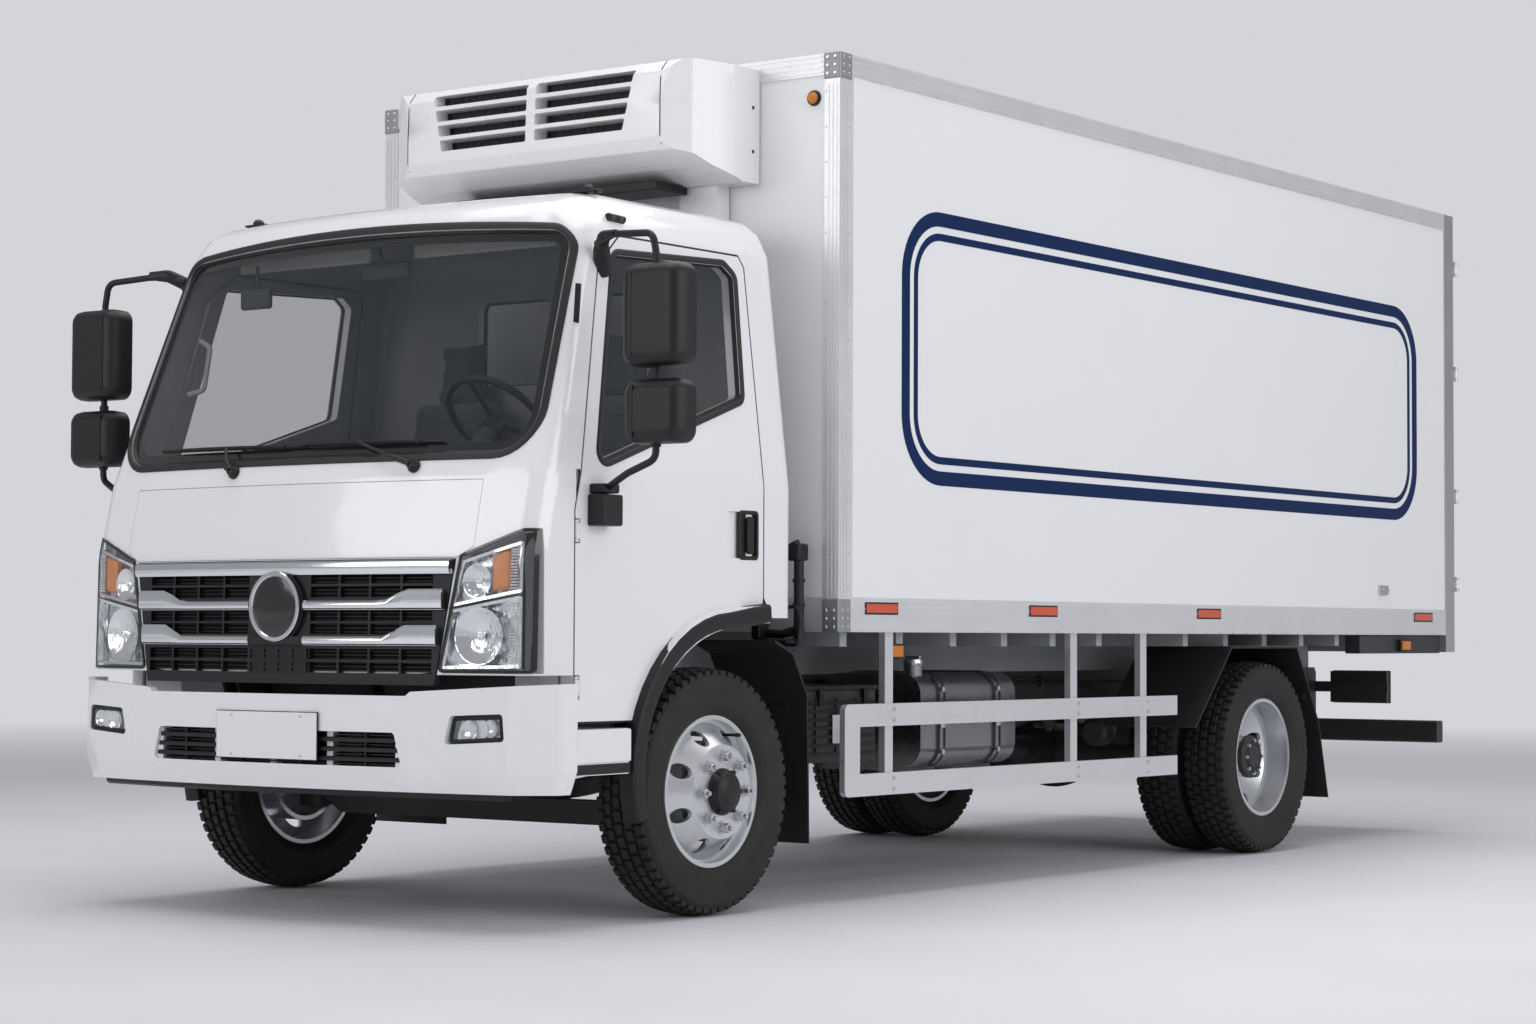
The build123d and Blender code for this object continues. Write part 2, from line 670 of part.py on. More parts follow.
# ------------------------------------------------------------------ powertrain
with BuildPart() as powertrain:
    # plain engine block, gearbox, shaft and radiator
    brick((-300, 300), (-760, 480), (560, 960))
    brick((-250, 250), (-290, 440), (960, 1110))
    for y in (-420, 300):
        brick((-rail_outer + 8 + seat_gap, rail_outer - 8 - seat_gap), (y - 40, y + 40), (700, 760))
    add(plan_prism(((-210, 480), (210, 480), (150, 800), (120, 1230), (-120, 1230), (-150, 800)),
                   (560, 860)))
    shaft_start = Vector(0, aft(1230), 700)
    shaft_end = Vector(0, axle_rear - 320, tyre_radius + 14)
    with BuildSketch(Plane(origin=shaft_start, z_dir=shaft_end - shaft_start)):
        Circle(48)
    extrude(amount=(shaft_end - shaft_start).length + 30)
    brick((-80, 80), (wheelbase - 320 - seat_gap, wheelbase - 200), (300, 900), Mode.SUBTRACT)
    brick((-340, 340), (-880, -800), (600, 965))
    brick((-345, 345), (-802, -760), (620, 700))
save("powertrain", powertrain)

# ------------------------------------------------------- tank, box and silencer
tank_x = (rail_outer + 90, 1050)
tank_y = (1690, 2475)
tank_z = (520, 930)
tank_centre = ((tank_x[0] + tank_x[1]) / 2, (tank_z[0] + tank_z[1]) / 2)
tank_size = (tank_x[1] - tank_x[0], tank_z[1] - tank_z[0])
tank_corner = 95
strap_thick = 6
with BuildPart() as fuel_tank:
    with BuildSketch(Plane.XZ.offset(-aft(tank_y[1]))):
        with Locations(tank_centre):
            RectangleRounded(*tank_size, tank_corner)
    extrude(amount=tank_y[1] - tank_y[0])
    for y in (tank_y[0] + 160, tank_y[1] - 165):
        with BuildSketch(Plane.XZ.offset(-aft(y + 30))):
            with Locations(tank_centre):
                RectangleRounded(tank_size[0] + 2 * strap_thick, tank_size[1] + 2 * strap_thick,
                                 tank_corner + strap_thick)
        extrude(amount=60)
        brick((rail_outer + seat_gap, tank_x[1] - 50), (y - 28, y + 28), (tank_z[0] - 26, tank_z[0] - 1))
        brick((rail_outer + seat_gap, rail_outer + 60), (y - 28, y + 28), (tank_z[0] - 26, tank_z[1] - 30))
    rod(tank_x[1] - 90, tank_y[0] + 75, tank_z[1] + 5, 42, "Z", 60)
save("fuel_tank", fuel_tank)

with BuildPart() as battery_box:
    brick((rail_outer + 130, 1000), (889, 1410), (560, 868))
    for y in (960, 1340):
        brick((rail_outer + seat_gap, rail_outer + 170), (y - 30, y + 30), (580, 760))
    for y in (1000, 1150, 1300):
        brick((996, 1006), (y - 40, y + 40), (600, 830))
save("battery_box", battery_box)

# ----------------------------------------------------------------- side guards
guard_x = (1232, 1258)
guard_rows = ((431, 523), (718, 812))
guard_front, guard_rear = 811, wheelbase - 940
with BuildPart() as side_guards:
    for low, high in guard_rows:
        brick(guard_x, (guard_front + 60, guard_rear), (low, high))
    add(side_prism(((guard_front, guard_rows[0][0]), (guard_front + 110, guard_rows[0][0]),
                    (guard_front + 110, guard_rows[1][1]), (guard_front, guard_rows[1][1])),
                   guard_x, 30))
    for y in (guard_front + 359, guard_rear - 940, guard_rear - 290):
        brick((1202, 1233), (y - 30, y + 30), (guard_rows[0][0], box_bottom - seat_gap))
    mirror(about=Plane.YZ)
save("side_guards", side_guards)

# --------------------------------------------------------------- front bumper
bumper_wall = 34
bumper_front = -front_overhang
bumper_rear = -925
bumper_bottom = 510
bumper_tuck_top = 596           # below this the face leans in
bumper_tuck = 32
bumper_top = 918
bumper_arc = 6200
bumper_corner = 1120            # the face turns round the corner from here
bumper_half = 1277
middle_half = 677               # lower middle part of the upper edge
middle_top = 866


def bumper_plan(inset, level):
    """Plan outline of the bumper's outer (or, inset, its inner) face."""
    wide = bumper_half - inset
    edge = bumper_front + inset + bumper_arc - sqrt(bumper_arc**2 - bumper_corner**2)
    turn = aft(edge + 0.84 * (wide - bumper_corner))
    rear = aft(bumper_rear + inset)
    with BuildSketch(Plane.XY.offset(level)) as plan:
        with BuildLine():
            ThreePointArc((-bumper_corner, aft(edge)), (0, aft(bumper_front + inset)),
                          (bumper_corner, aft(edge)))
            Polyline((bumper_corner, aft(edge)), (wide, turn), (wide, rear),
                     (-wide, rear), (-wide, turn), (-bumper_corner, aft(edge)))
        make_face()
        fillet(plan.vertices().group_by(Axis.Y)[1], 60)
    return plan.sketch


def bumper_volume(inset):
    """The bumper's outer form with its tucked lower edge, moved in by the inset."""
    low = bumper_plan(inset + bumper_tuck, bumper_bottom)
    middle = bumper_plan(inset, bumper_tuck_top)
    return loft([low.face(), middle.face()], ruled=True) + extrude(middle, bumper_top - bumper_tuck_top)


lower_opening = ((-663, 602), (663, 602), (626, 730), (-626, 730))
fog_lamp = (985, 748)           # X, Z
fog_back = -1118

with BuildPart() as front_bumper:
    add(bumper_volume(0))
    add(bumper_volume(bumper_wall), mode=Mode.SUBTRACT)
    brick((-1300, 1300), (bumper_rear, bumper_rear + 120), (500, 950), Mode.SUBTRACT)
    # upper edge: low in the middle, rising towards the ends
    add(front_prism(((-middle_half, middle_top), (middle_half, middle_top), (middle_half + 22, 882),
                     (1290, 916), (1290, 960), (-1290, 960), (-1290, 916), (-middle_half - 22, 882)),
                    (-1300, -880)), mode=Mode.SUBTRACT)
    add(front_prism(lower_opening, (-1300, -1000), 18), mode=Mode.SUBTRACT)
    # slats of the lower opening, and fog lamps in their pockets
    for z in (628, 664, 700):
        brick((-650, 650), (slat_rear - 18, slat_rear), (z - 6, z + 6))
    for x in (-300, 0, 300):
        brick((x - 15, x + 15), (bumper_front + 34, slat_rear), (590, 740))
    for side in (-1, 1):
        brick(sorted((side * 622, side * 676)), (-1190, -1150), (590, 740))
        pocket = ((side * 850, 690), (side * 1108, 705), (side * 1100, 806), (side * 878, 796))
        add(front_prism(pocket, (-1300, fog_back), 15), mode=Mode.SUBTRACT)
        rod(side * fog_lamp[0], fog_back, fog_lamp[1], 44, "Y", 40)
        brick(sorted((side * 844, side * 1114)), (fog_back, fog_back + 32), (670, 826))
save("front_bumper", front_bumper)

# ----------------------------------------------------------------- entry steps
with BuildPart() as entry_steps:
    add(plan_prism(((1010, -890), (1240, -890), (1214, -540), (1010, -540)), (575, 745), 12))
    brick((1010, 1400), (-840, -600), (640, 690), Mode.SUBTRACT)
    brick((1010, 1180), (-840, -600), (638, 642))
    brick((rail_outer + seat_gap, 1020), (-860, -800), (690, 735))
    mirror(about=Plane.YZ)
save("entry_steps", entry_steps)

# ------------------------------------------------------------------- mudguards
with BuildPart() as mudguards:
    front_outline = ((400, 1066), (520, 1020), (622, 850), (636, 250), (644, 250),
                     (632, 852), (526, 1029), (403, 1076))
    add(side_prism(front_outline, (780, 1200)))
    rod(770, 629, 800, 16, "X", 2 * (770 - rail_outer - seat_gap))
    rear_outline = ((-757, 649), (-380, 1038), (330, 1038), (578, 649), (686, 255),
                    (694, 255), (586, 651), (334, 1046), (-384, 1046), (-765, 655))
    add(side_prism([(wheelbase + y, z) for y, z in rear_outline], (740, 1262)))
    for y, z in ((wheelbase - 630, 772), (wheelbase + 490, 786)):
        rod(830, y, z, 20, "X", 2 * (830 - rail_outer - seat_gap))
    mirror(about=Plane.YZ)
save("mudguards", mudguards)

# ----------------------------------------------------------------- rear bumper
with BuildPart() as rear_bumper:
    with BuildSketch(Plane.YZ.offset(-1200)):
        with Locations((aft(box_rear - 41), 562)):
            RectangleRounded(80, 124, 16)
    extrude(amount=2400)
    for side in (-1, 1):
        brick(sorted((side * (rail_outer - 78), side * (rail_outer - 10))),
              (frame_rear + seat_gap, frame_rear + 34), (580, 900))
        brick(sorted((side * (rail_outer - 30), side * 880)), (frame_rear + 10, frame_rear + 26), (780, 840))
        brick(sorted((side * 520, side * 872)), (frame_rear + 18, frame_rear + 68), (720, 900))
save("rear_bumper", rear_bumper)

# ===================================================================== the body
bearer_pitch = 420
bearer_low = 1050
runner_x = (rail_outer - 80, rail_outer - 5)
with BuildPart() as box_floor:
    # insulated floor, two runners on the chassis rails, and the cross bearers between them
    brick((-box_half_width + trim_depth + seat_gap, box_half_width - trim_depth - seat_gap),
          (box_front + trim_depth + 2, box_rear - rear_frame_depth - seat_gap),
          (box_bottom, box_bottom + 100))
    for side in (-1, 1):
        brick(sorted((side * runner_x[0], side * runner_x[1])), (box_front + 10, box_rear - 130),
              (rail_top + seat_gap, bearer_low - seat_gap))
    bearer = box_front + 150
    while bearer < box_rear - rear_frame_depth - 60:
        brick((-1195, 1195), (bearer - 25, bearer + 25), (bearer_low, box_bottom - seat_gap))
        bearer += bearer_pitch
save("box_floor", box_floor)

wall_out = box_half_width - 5
walls_rear = box_rear - rear_frame_depth - seat_gap
wall_in = box_half_width - trim_depth
wall_top = top_rail_bottom - seat_gap
wall_low = bottom_rail_top + seat_gap
with BuildPart() as box_walls:
    brick((wall_in, wall_out), (box_front + trim_depth + 25 + seat_gap, walls_rear),
          (wall_low, wall_top))
    mirror(about=Plane.YZ)
    brick((-box_half_width + post_width + seat_gap, box_half_width - post_width - seat_gap),
          (box_front + 5, box_front + trim_depth), (wall_low, wall_top))
save("box_walls", box_walls)

top_rail_in = box_half_width - 90
with BuildPart() as box_roof:
    brick((-top_rail_in + seat_gap, top_rail_in - seat_gap),
          (box_front + trim_depth + seat_gap, walls_rear),
          (top_rail_bottom + 15, box_top - 5))
save("box_roof", box_roof)

with BuildPart() as box_edge_trim:
    post_rear = box_front + trim_depth + 25
    rail_y = (post_rear + seat_gap, walls_rear)
    brick((wall_in, box_half_width), rail_y, (box_bottom, bottom_rail_top))
    brick((top_rail_in, box_half_width), rail_y, (top_rail_bottom, box_top))
    add(plan_prism(((box_half_width - post_width, box_front), (box_half_width, box_front),
                    (box_half_width, post_rear), (wall_in, post_rear),
                    (wall_in, box_front + trim_depth), (box_half_width - post_width, box_front + trim_depth)),
                   (box_bottom, box_top)))
    mirror(about=Plane.YZ)
    inner_post = box_half_width - post_width - seat_gap
    brick((-inner_post, inner_post), (box_front, box_front + trim_depth), (box_bottom, bottom_rail_top))
    brick((-inner_post, inner_post), (box_front, box_front + trim_depth), (top_rail_bottom, box_top))
save("box_edge_trim", box_edge_trim)

# Rear frame, and the doors' hinges on its posts.
opening_half = box_half_width - rear_post_width
opening_low = 1210
opening_high = 3380
hinge_levels = (1400, 1900, 2600, 3200)
strap_half = 24
ear_thick = 16
pin_x = box_half_width
pin_y = box_rear + pin_behind_frame
leaf_face = box_rear - rear_leaf_recess

with BuildPart() as rear_frame:
    brick((-box_half_width, box_half_width), (box_rear - rear_frame_depth, box_rear), (1014, box_top))
    brick((-opening_half, opening_half), (box_rear - 200, box_rear + 10), (opening_low, opening_high),
          Mode.SUBTRACT)
    for side in (-1, 1):
        for level in hinge_levels:
            for z in (level - strap_half - 1 - ear_thick / 2, level + strap_half + 1 + ear_thick / 2):
                rod(side * pin_x, pin_y, z, pin_eye_radius, "Z", ear_thick)
                brick(sorted((side * (pin_x - 60), side * (pin_x + 6))), (box_rear - 1, pin_y),
                      (z - ear_thick / 2, z + ear_thick / 2))
            rod(side * pin_x, pin_y, level, 6, "Z", 2 * (strap_half + 1 + ear_thick))
save("rear_frame", rear_frame)

leaf_x0 = 8
leaf_x1 = opening_half - leaf_gap
bar_radius = 13
with BuildPart() as rear_door:
    brick((leaf_x0, leaf_x1), (leaf_face - rear_leaf, leaf_face),
          (opening_low + leaf_gap, opening_high - leaf_gap))
    for level in hinge_levels:
        strap = [(pin_x + x, pin_y + y) for x, y in
                 ((-330, -40), (-330, -32), (-128, -32), (-106, -8), (0, -4), (0, -12),
                  (-102, -18), (-118, -41))]
        add(plan_prism(strap, (level - strap_half, level + strap_half)))
        rod(pin_x, pin_y, level, pin_eye_radius, "Z", 2 * strap_half)
        rod(pin_x, pin_y, level, 6 + running_gap, "Z", 4 * strap_half, Mode.SUBTRACT)
    # locking bars in their guides, and the handle of the first
    for x in (150, 640):
        rod(x, leaf_face + bar_radius + 4, (1235 + 3355) / 2, bar_radius, "Z", 3355 - 1235)
        for z in (1260, 1750, 2300, 2850, 3330):
            brick((x - 30, x + 30), (leaf_face - 2, leaf_face + 2 * bar_radius + 5), (z - 16, z + 16))
    brick((150, 480), (leaf_face + 8, leaf_face + 20), (2030, 2062))
    brick((440, 480), (leaf_face - 2, leaf_face + 9), (2026, 2066))
for side, name in ((1, "left"), (-1, "right")):
    with BuildPart() as piece:
        add(rear_door.part if side > 0 else rear_door.part.mirror(Plane.YZ))
    save(f"cargo_door_{name}", piece)

# ---------------------------------------------------------- refrigeration unit
unit_front = 264
unit_bottom = 2983
unit_top = 3462
unit_half = 865
unit_rear = box_front - seat_gap
slot_height = 49
slot_step = 66
first_slot_top = 3430
with BuildPart() as reefer_unit:
    # the end caps turn back from the front face
    plan = ((-unit_half, unit_rear + 90), (-unit_half, 560), (-818, 342), (-690, unit_front),
            (690, unit_front), (818, 342), (unit_half, 560), (unit_half, unit_rear + 90))
    profile = ((unit_rear + 90, unit_bottom), (620, unit_bottom), (440, 3032), (unit_front + 32, 3089),
               (unit_front, 3135), (unit_front + 12, 3410), (unit_front + 56, unit_top),
               (unit_rear + 90, unit_top))
    add(plan_prism(plan, (unit_bottom, unit_top), 45) & side_prism(profile, (-900, 900), 22))
    # air duct down the body's front wall, a solid of its own
    brick((510, 708), (650, unit_rear + 10), (2420, unit_bottom - seat_gap))
    brick((-900, 900), (unit_rear, box_front + 120), (2400, 3500), Mode.SUBTRACT)
    for row in range(4):
        top = first_slot_top - slot_step * row
        edge = 560 - 15 * row
        for side in (-1, 1):
            add(front_prism(((side * 24, top - slot_height), (side * 24, top), (side * edge, top),
                             (side * (edge - 12), top - slot_height)),
                            (unit_front - 20, unit_front + 90), 8), mode=Mode.SUBTRACT)
save("reefer_unit", reefer_unit)

# ============================================================= running gear
def axle_plane(x, y):
    """Plane through a wheel's axis: local X along the axis, local Y radial."""
    return Plane(origin=(x, aft(y), tyre_radius), x_dir=(1, 0, 0), z_dir=(0, -1, 0))


def axle_axis(y):
    return Axis((0, aft(y), tyre_radius), (1, 0, 0))


def tyre(x, y):
    half = tyre_width / 2
    tread = half - 14
    flank = rim_half_width - 2
    bead = rim_half_width - 9 - seat_gap
    over_flange = rim_radius + 11 + seat_gap
    with BuildPart() as ring:
        with BuildSketch(axle_plane(x, y)):
            with BuildLine():
                ThreePointArc((-tread, tyre_radius - 14), (0, tyre_radius), (tread, tyre_radius - 14))
                ThreePointArc((tread, tyre_radius - 14), (half, 385), (flank, over_flange))
                Polyline((flank, over_flange), (bead, over_flange), (bead, rim_radius + seat_gap),
                         (-bead, rim_radius + seat_gap), (-bead, over_flange), (-flank, over_flange))
                ThreePointArc((-flank, over_flange), (-half, 385), (-tread, tyre_radius - 14))
            make_face()
        revolve(axis=axle_axis(y))
    return ring.part


def rim(x, y, outward):
    """Rim and dished disc; the disc's mounting face lies on the outward side."""
    face = outward * wheel_offset
    inner_face = outward * (wheel_offset - 12)
    w = rim_half_width
    with BuildPart() as wheel:
        with BuildSketch(axle_plane(x, y)):
            Polygon((-w, rim_radius + 11), (-w + 8, rim_radius + 11), (-w + 9, rim_radius),
                    (w - 9, rim_radius), (w - 8, rim_radius + 11), (w, rim_radius + 11),
                    (w, rim_radius - 6), (w - 12, rim_radius - 9), (-w + 12, rim_radius - 9),
                    (-w, rim_radius - 6), align=None)
        revolve(axis=axle_axis(y))
        with BuildSketch(axle_plane(x, y)):
            Polygon((outward * 48, rim_radius - 4), (outward * 36, rim_radius - 4),
                    (outward * 36, 262), (inner_face, 178), (inner_face, 70),
                    (face, 70), (face, 184), (outward * 48, 268), align=None)
        revolve(axis=axle_axis(y))
        for hole in range(8):
            angle = radians(45 * hole + 22.5)
            centre = (x + outward * 84, aft(y) + 224 * sin(angle), tyre_radius + 224 * cos(angle))
            with Locations(Location(centre, (0, 90, 0))):
                Cylinder(30, 130, mode=Mode.SUBTRACT)
    return wheel.part


spindle_radius = 35
for side, name in ((1, "left"), (-1, "right")):
    centre = side * front_track / 2
    face = centre + side * wheel_offset
    with BuildPart() as piece:
        add(rim(centre, 0, side))
        # hub, drum and wheel studs
        rod(side * 1096, 0, tyre_radius, 196, "X", 168)
        rod(side * 1080, 0, tyre_radius, 178, "X", 176, Mode.SUBTRACT)
        rod(side * 1204, 0, tyre_radius, 100, "X", 56)
        rod(side * 1160, 0, tyre_radius, 62, "X", 200)
        rod(side * 1256, 0, tyre_radius, 74, "X", 34)
        rod(side * 1138, 0, tyre_radius, spindle_radius + running_gap, "X", 174, Mode.SUBTRACT)
        for bolt in range(8):
            angle = radians(45 * bolt)
            rod(face + side * 8, 140 * sin(angle), tyre_radius + 140 * cos(angle), 15, "X", 24)
    save(f"front_wheel_{name}", piece)
    with BuildPart() as piece:
        add(tyre(centre, 0))
    save(f"front_tyre_{name}", piece)

    outer_rim = side * (rear_wheel_mount + wheel_offset)
    inner_rim = side * (rear_wheel_mount - wheel_offset)
    with BuildPart() as piece:
        add(rim(outer_rim, wheelbase, -side))
        add(rim(inner_rim, wheelbase, side))
        rod(side * 985, wheelbase, tyre_radius, 105, "X", 360)
        rod(side * 885, wheelbase, tyre_radius, 190, "X", 220)
        rod(side * 840, wheelbase, tyre_radius, 170, "X", 170, Mode.SUBTRACT)
        rod(side * 900, wheelbase, tyre_radius, 80, "X", 140)
        rod(side * 900, wheelbase, tyre_radius, 45 + running_gap, "X", 340, Mode.SUBTRACT)
        for bolt in range(8):
            angle = radians(45 * bolt)
            rod(side * (rear_wheel_mount + 20), wheelbase + 140 * sin(angle),
                tyre_radius + 140 * cos(angle), 15, "X", 50)
    save(f"rear_wheels_{name}", piece)
    with BuildPart() as piece:
        add(tyre(outer_rim, wheelbase))
        add(tyre(inner_rim, wheelbase))
    save(f"rear_tyres_{name}", piece)

# ----------------------------------------------------------- steering knuckles
lug_low = (tyre_radius - 132, boss_low - 7)         # below and above the beam's boss
lug_high = (boss_high + 7, tyre_radius + 120)
arm_z = (tyre_radius - 130, tyre_radius - 106)
rod_level = tyre_radius - 146
ball_pin_radius = 10
for side, name in ((1, "left"), (-1, "right")):
    kx = side * king_pin_x
    with BuildPart() as piece:
        for lug in (lug_low, lug_high):
            rod(kx, 0, (lug[0] + lug[1]) / 2, 40, "Z", lug[1] - lug[0])
            brick(sorted((kx, kx + side * 50)), (-40, 40), lug)
        brick(sorted((kx + side * 36, kx + side * 60)), (-52, 52), (lug_low[0], lug_high[1]))
        rod(kx, 0, tyre_radius, king_pin_radius + running_gap, "Z", 300, Mode.SUBTRACT)
        brick(sorted((kx - side * 42, kx + side * 34)), (-60, 60), (boss_low - 7, boss_high + 7),
              Mode.SUBTRACT)
        rod(side * 1106, 0, tyre_radius, spindle_radius, "X", 220)
        # steering arm and its ball pin
        brick((kx - 20, kx + 20), (30, steer_arm_length), arm_z)
        rod(kx, steer_arm_length, (arm_z[0] + arm_z[1]) / 2, 24, "Z", arm_z[1] - arm_z[0])
        rod(kx, steer_arm_length, arm_z[0] - 6, ball_pin_radius, "Z", 50)
    save(f"knuckle_{name}", piece)

with BuildPart() as tie_rod:
    rod(0, steer_arm_length, rod_level, 16, "X", 2 * king_pin_x - 30)
    for side in (-1, 1):
        rod(side * king_pin_x, steer_arm_length, rod_level, 24, "Z", 26)
        rod(side * king_pin_x, steer_arm_length, rod_level, ball_pin_radius + running_gap, "Z", 40,
            Mode.SUBTRACT)
save("tie_rod", tie_rod)
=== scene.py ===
# %% [markdown]
# # A refrigerated truck, finished in Blender
#
# The construction comes from CAD: every rigid piece is already in its place, in metres, with the truck's
# front towards -Y, its left side towards +X and the ground at Z = 0. This lesson dresses that frame. It
# gives each surface a finish and adds what a CAD model leaves out: tread, rubber seals, lamp optics,
# mirrors, wipers, rivets and upholstery.

# %% Load the frame
from math import cos, pi, radians, sin, sqrt, tan

import bmesh
import bpy
from mathutils import Matrix, Vector
from mathutils.bvhtree import BVHTree


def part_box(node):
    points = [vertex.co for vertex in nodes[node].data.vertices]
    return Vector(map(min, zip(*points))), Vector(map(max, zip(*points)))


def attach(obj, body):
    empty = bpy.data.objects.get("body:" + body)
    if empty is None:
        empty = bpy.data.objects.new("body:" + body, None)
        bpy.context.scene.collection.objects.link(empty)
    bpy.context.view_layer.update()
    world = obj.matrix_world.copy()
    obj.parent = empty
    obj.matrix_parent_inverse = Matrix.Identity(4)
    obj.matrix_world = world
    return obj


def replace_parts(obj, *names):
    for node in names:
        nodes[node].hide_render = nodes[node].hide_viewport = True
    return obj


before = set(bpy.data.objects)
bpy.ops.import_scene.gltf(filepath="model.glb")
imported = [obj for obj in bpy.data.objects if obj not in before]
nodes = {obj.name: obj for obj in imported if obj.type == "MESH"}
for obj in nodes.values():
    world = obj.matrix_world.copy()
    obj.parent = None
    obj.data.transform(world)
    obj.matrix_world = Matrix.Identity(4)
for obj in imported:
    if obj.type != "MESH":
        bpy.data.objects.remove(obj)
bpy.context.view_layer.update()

# %% [markdown]
# Places on a truck are given from its front axle, so one helper turns "this far behind the axle" into a
# Y of the frame. The axle itself is read from the box of a front tyre, so nothing here is measured twice.

# %% Reference places
tyre_low, tyre_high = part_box("front_tyre_left")
front_axle_y = (tyre_low.y + tyre_high.y) / 2
tyre_radius = (tyre_high.z - tyre_low.z) / 2
tyre_width = tyre_high.x - tyre_low.x
rear_low, rear_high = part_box("rear_tyres_left")
rear_axle_y = (rear_low.y + rear_high.y) / 2
axle_height = tyre_radius
LEFT, RIGHT = 1, -1
SIDES = ((LEFT, "left", "driver_door"), (RIGHT, "right", "passenger_door"))


def aft(distance):
    """Y of a point this far behind the front axle."""
    return front_axle_y + distance


print(f"wheelbase {rear_axle_y - front_axle_y:.3f} m, tyre radius {tyre_radius:.3f} m")

# %% [markdown]
# ## Camera, light and floor
#
# A long lens from low down, near the truck's front left corner, gives the calm catalogue view. The roll
# of a quarter of a degree is the small tilt of a hand-levelled camera. The lens is worked out from the
# focal length in pixels of a picture 1536 pixels wide.

# %% Camera
picture_width = 1536
focal_pixels = 3085.67
sensor_width = 36
camera_place = Vector((8.5054, front_axle_y - 9.6156, 1.1003))
camera_azimuth, camera_pitch, camera_roll = radians(36.244), radians(2.266), radians(0.235)

scene = bpy.context.scene
camera = bpy.data.objects.new("camera", bpy.data.cameras.new("camera"))
scene.collection.objects.link(camera)
camera.data.sensor_width = sensor_width
camera.data.lens = focal_pixels / picture_width * sensor_width
camera.data.clip_end = 200
level_right = Vector((cos(camera_azimuth), sin(camera_azimuth), 0))
level_ahead = Vector((-sin(camera_azimuth), cos(camera_azimuth), 0))
ahead = cos(camera_pitch) * level_ahead + sin(camera_pitch) * Vector((0, 0, 1))
level_up = level_right.cross(ahead)
right = cos(camera_roll) * level_right + sin(camera_roll) * level_up
up = cos(camera_roll) * level_up - sin(camera_roll) * level_right
camera.matrix_world = Matrix.Translation(camera_place) @ Matrix((right, up, -ahead)).transposed().to_4x4()
scene.camera = camera
print(f"lens {camera.data.lens:.1f} mm, {camera_place.length:.1f} m from the middle of the frame")

# %% [markdown]
# White paint needs soft light from wide lamps: small ones would leave hard highlights on the round cab. A
# broad lamp overhead and one beside the camera do most of the work, a third lights the nose, and an even
# world fills the rest. Glass and chrome look at the world too, so it shows the backdrop's tone to them.

# %% Lamps and world
scene.view_settings.view_transform = "Standard"
world_fill = 0.52               # what the world lights with, against 1 where it is seen


def soft_lamp(name, place, target, size, watts):
    """A rectangular lamp that faces a target."""
    lamp = bpy.data.objects.new(name, bpy.data.lights.new(name, "AREA"))
    lamp.data.shape = "RECTANGLE"
    lamp.data.size, lamp.data.size_y = size
    lamp.data.energy = watts
    lamp.location = place
    lamp.rotation_mode = "QUATERNION"
    lamp.rotation_quaternion = (Vector(target) - Vector(place)).to_track_quat("-Z", "Y")
    scene.collection.objects.link(lamp)


soft_lamp("overhead", (0, 0, 10), (0, 0, 0), (9, 14), 840)
soft_lamp("side_window", (13, -1, 5.5), (0, 1, 1.6), (14, 6), 680)
soft_lamp("nose_window", (-3, -14, 5), (0, -4, 1.6), (9, 5), 360)

backdrop_tone = (0.652, 0.662, 0.694)
world = bpy.data.worlds.new("studio")
scene.world = world
world.use_nodes = True
tree = world.node_tree
rays = tree.nodes.new("ShaderNodeLightPath")
seen = tree.nodes.new("ShaderNodeMath")
seen.operation = "MAXIMUM"
tree.links.new(rays.outputs["Is Camera Ray"], seen.inputs[0])
tree.links.new(rays.outputs["Is Transmission Ray"], seen.inputs[1])
strength = tree.nodes.new("ShaderNodeMapRange")
strength.inputs["To Min"].default_value = world_fill
strength.inputs["To Max"].default_value = 1
tree.links.new(seen.outputs[0], strength.inputs["Value"])
background = tree.nodes["Background"]
background.inputs["Color"].default_value = (*backdrop_tone, 1)
tree.links.new(strength.outputs["Result"], background.inputs["Strength"])
print("three lamps and an even world")

# %% [markdown]
# ## Shader maths
#
# A material is easier to read as an expression than as a pile of nodes. `Wire` wraps one socket and turns
# `+`, `-`, `*` and `/` into Math nodes. `Finish` is one material: it starts from a Principled shader and
# makes any other node from its type, its settings and the values of its sockets.

# %% Sockets as numbers
class Wire:
    """One output socket; arithmetic on it adds Math nodes to its tree."""

    def __init__(self, tree, socket):
        self.tree, self.socket = tree, socket

    def maths(self, operation, first, second=0.0, clamp=False):
        node = self.tree.nodes.new("ShaderNodeMath")
        node.operation, node.use_clamp = operation, clamp
        for slot, value in zip(node.inputs, (first, second)):
            plug(self.tree, value, slot)
        return Wire(self.tree, node.outputs[0])

    def __add__(self, other):
        return self.maths("ADD", self, other)

    def __sub__(self, other):
        return self.maths("SUBTRACT", self, other)

    def __rsub__(self, other):
        return self.maths("SUBTRACT", other, self)

    def __mul__(self, other):
        return self.maths("MULTIPLY", self, other)

    def __truediv__(self, other):
        return self.maths("DIVIDE", self, other)

    __radd__, __rmul__ = __add__, __mul__

    def above(self, edge, softness):
        """0 below the edge and 1 above it, with a soft step between."""
        return self.maths("ADD", (self - edge) / softness, 0.5, clamp=True)

    def saw(self, period):
        """The wire's place in its period, from 0 to 1."""
        return self.maths("FRACT", self / period)


def plug(tree, value, slot):
    """A link from a wire, or else a plain value on the socket."""
    if isinstance(value, Wire):
        tree.links.new(value.socket, slot)
    elif hasattr(value, "__len__") and len(value) == 3 and len(slot.default_value) == 4:
        slot.default_value = (*value, 1)
    else:
        slot.default_value = value


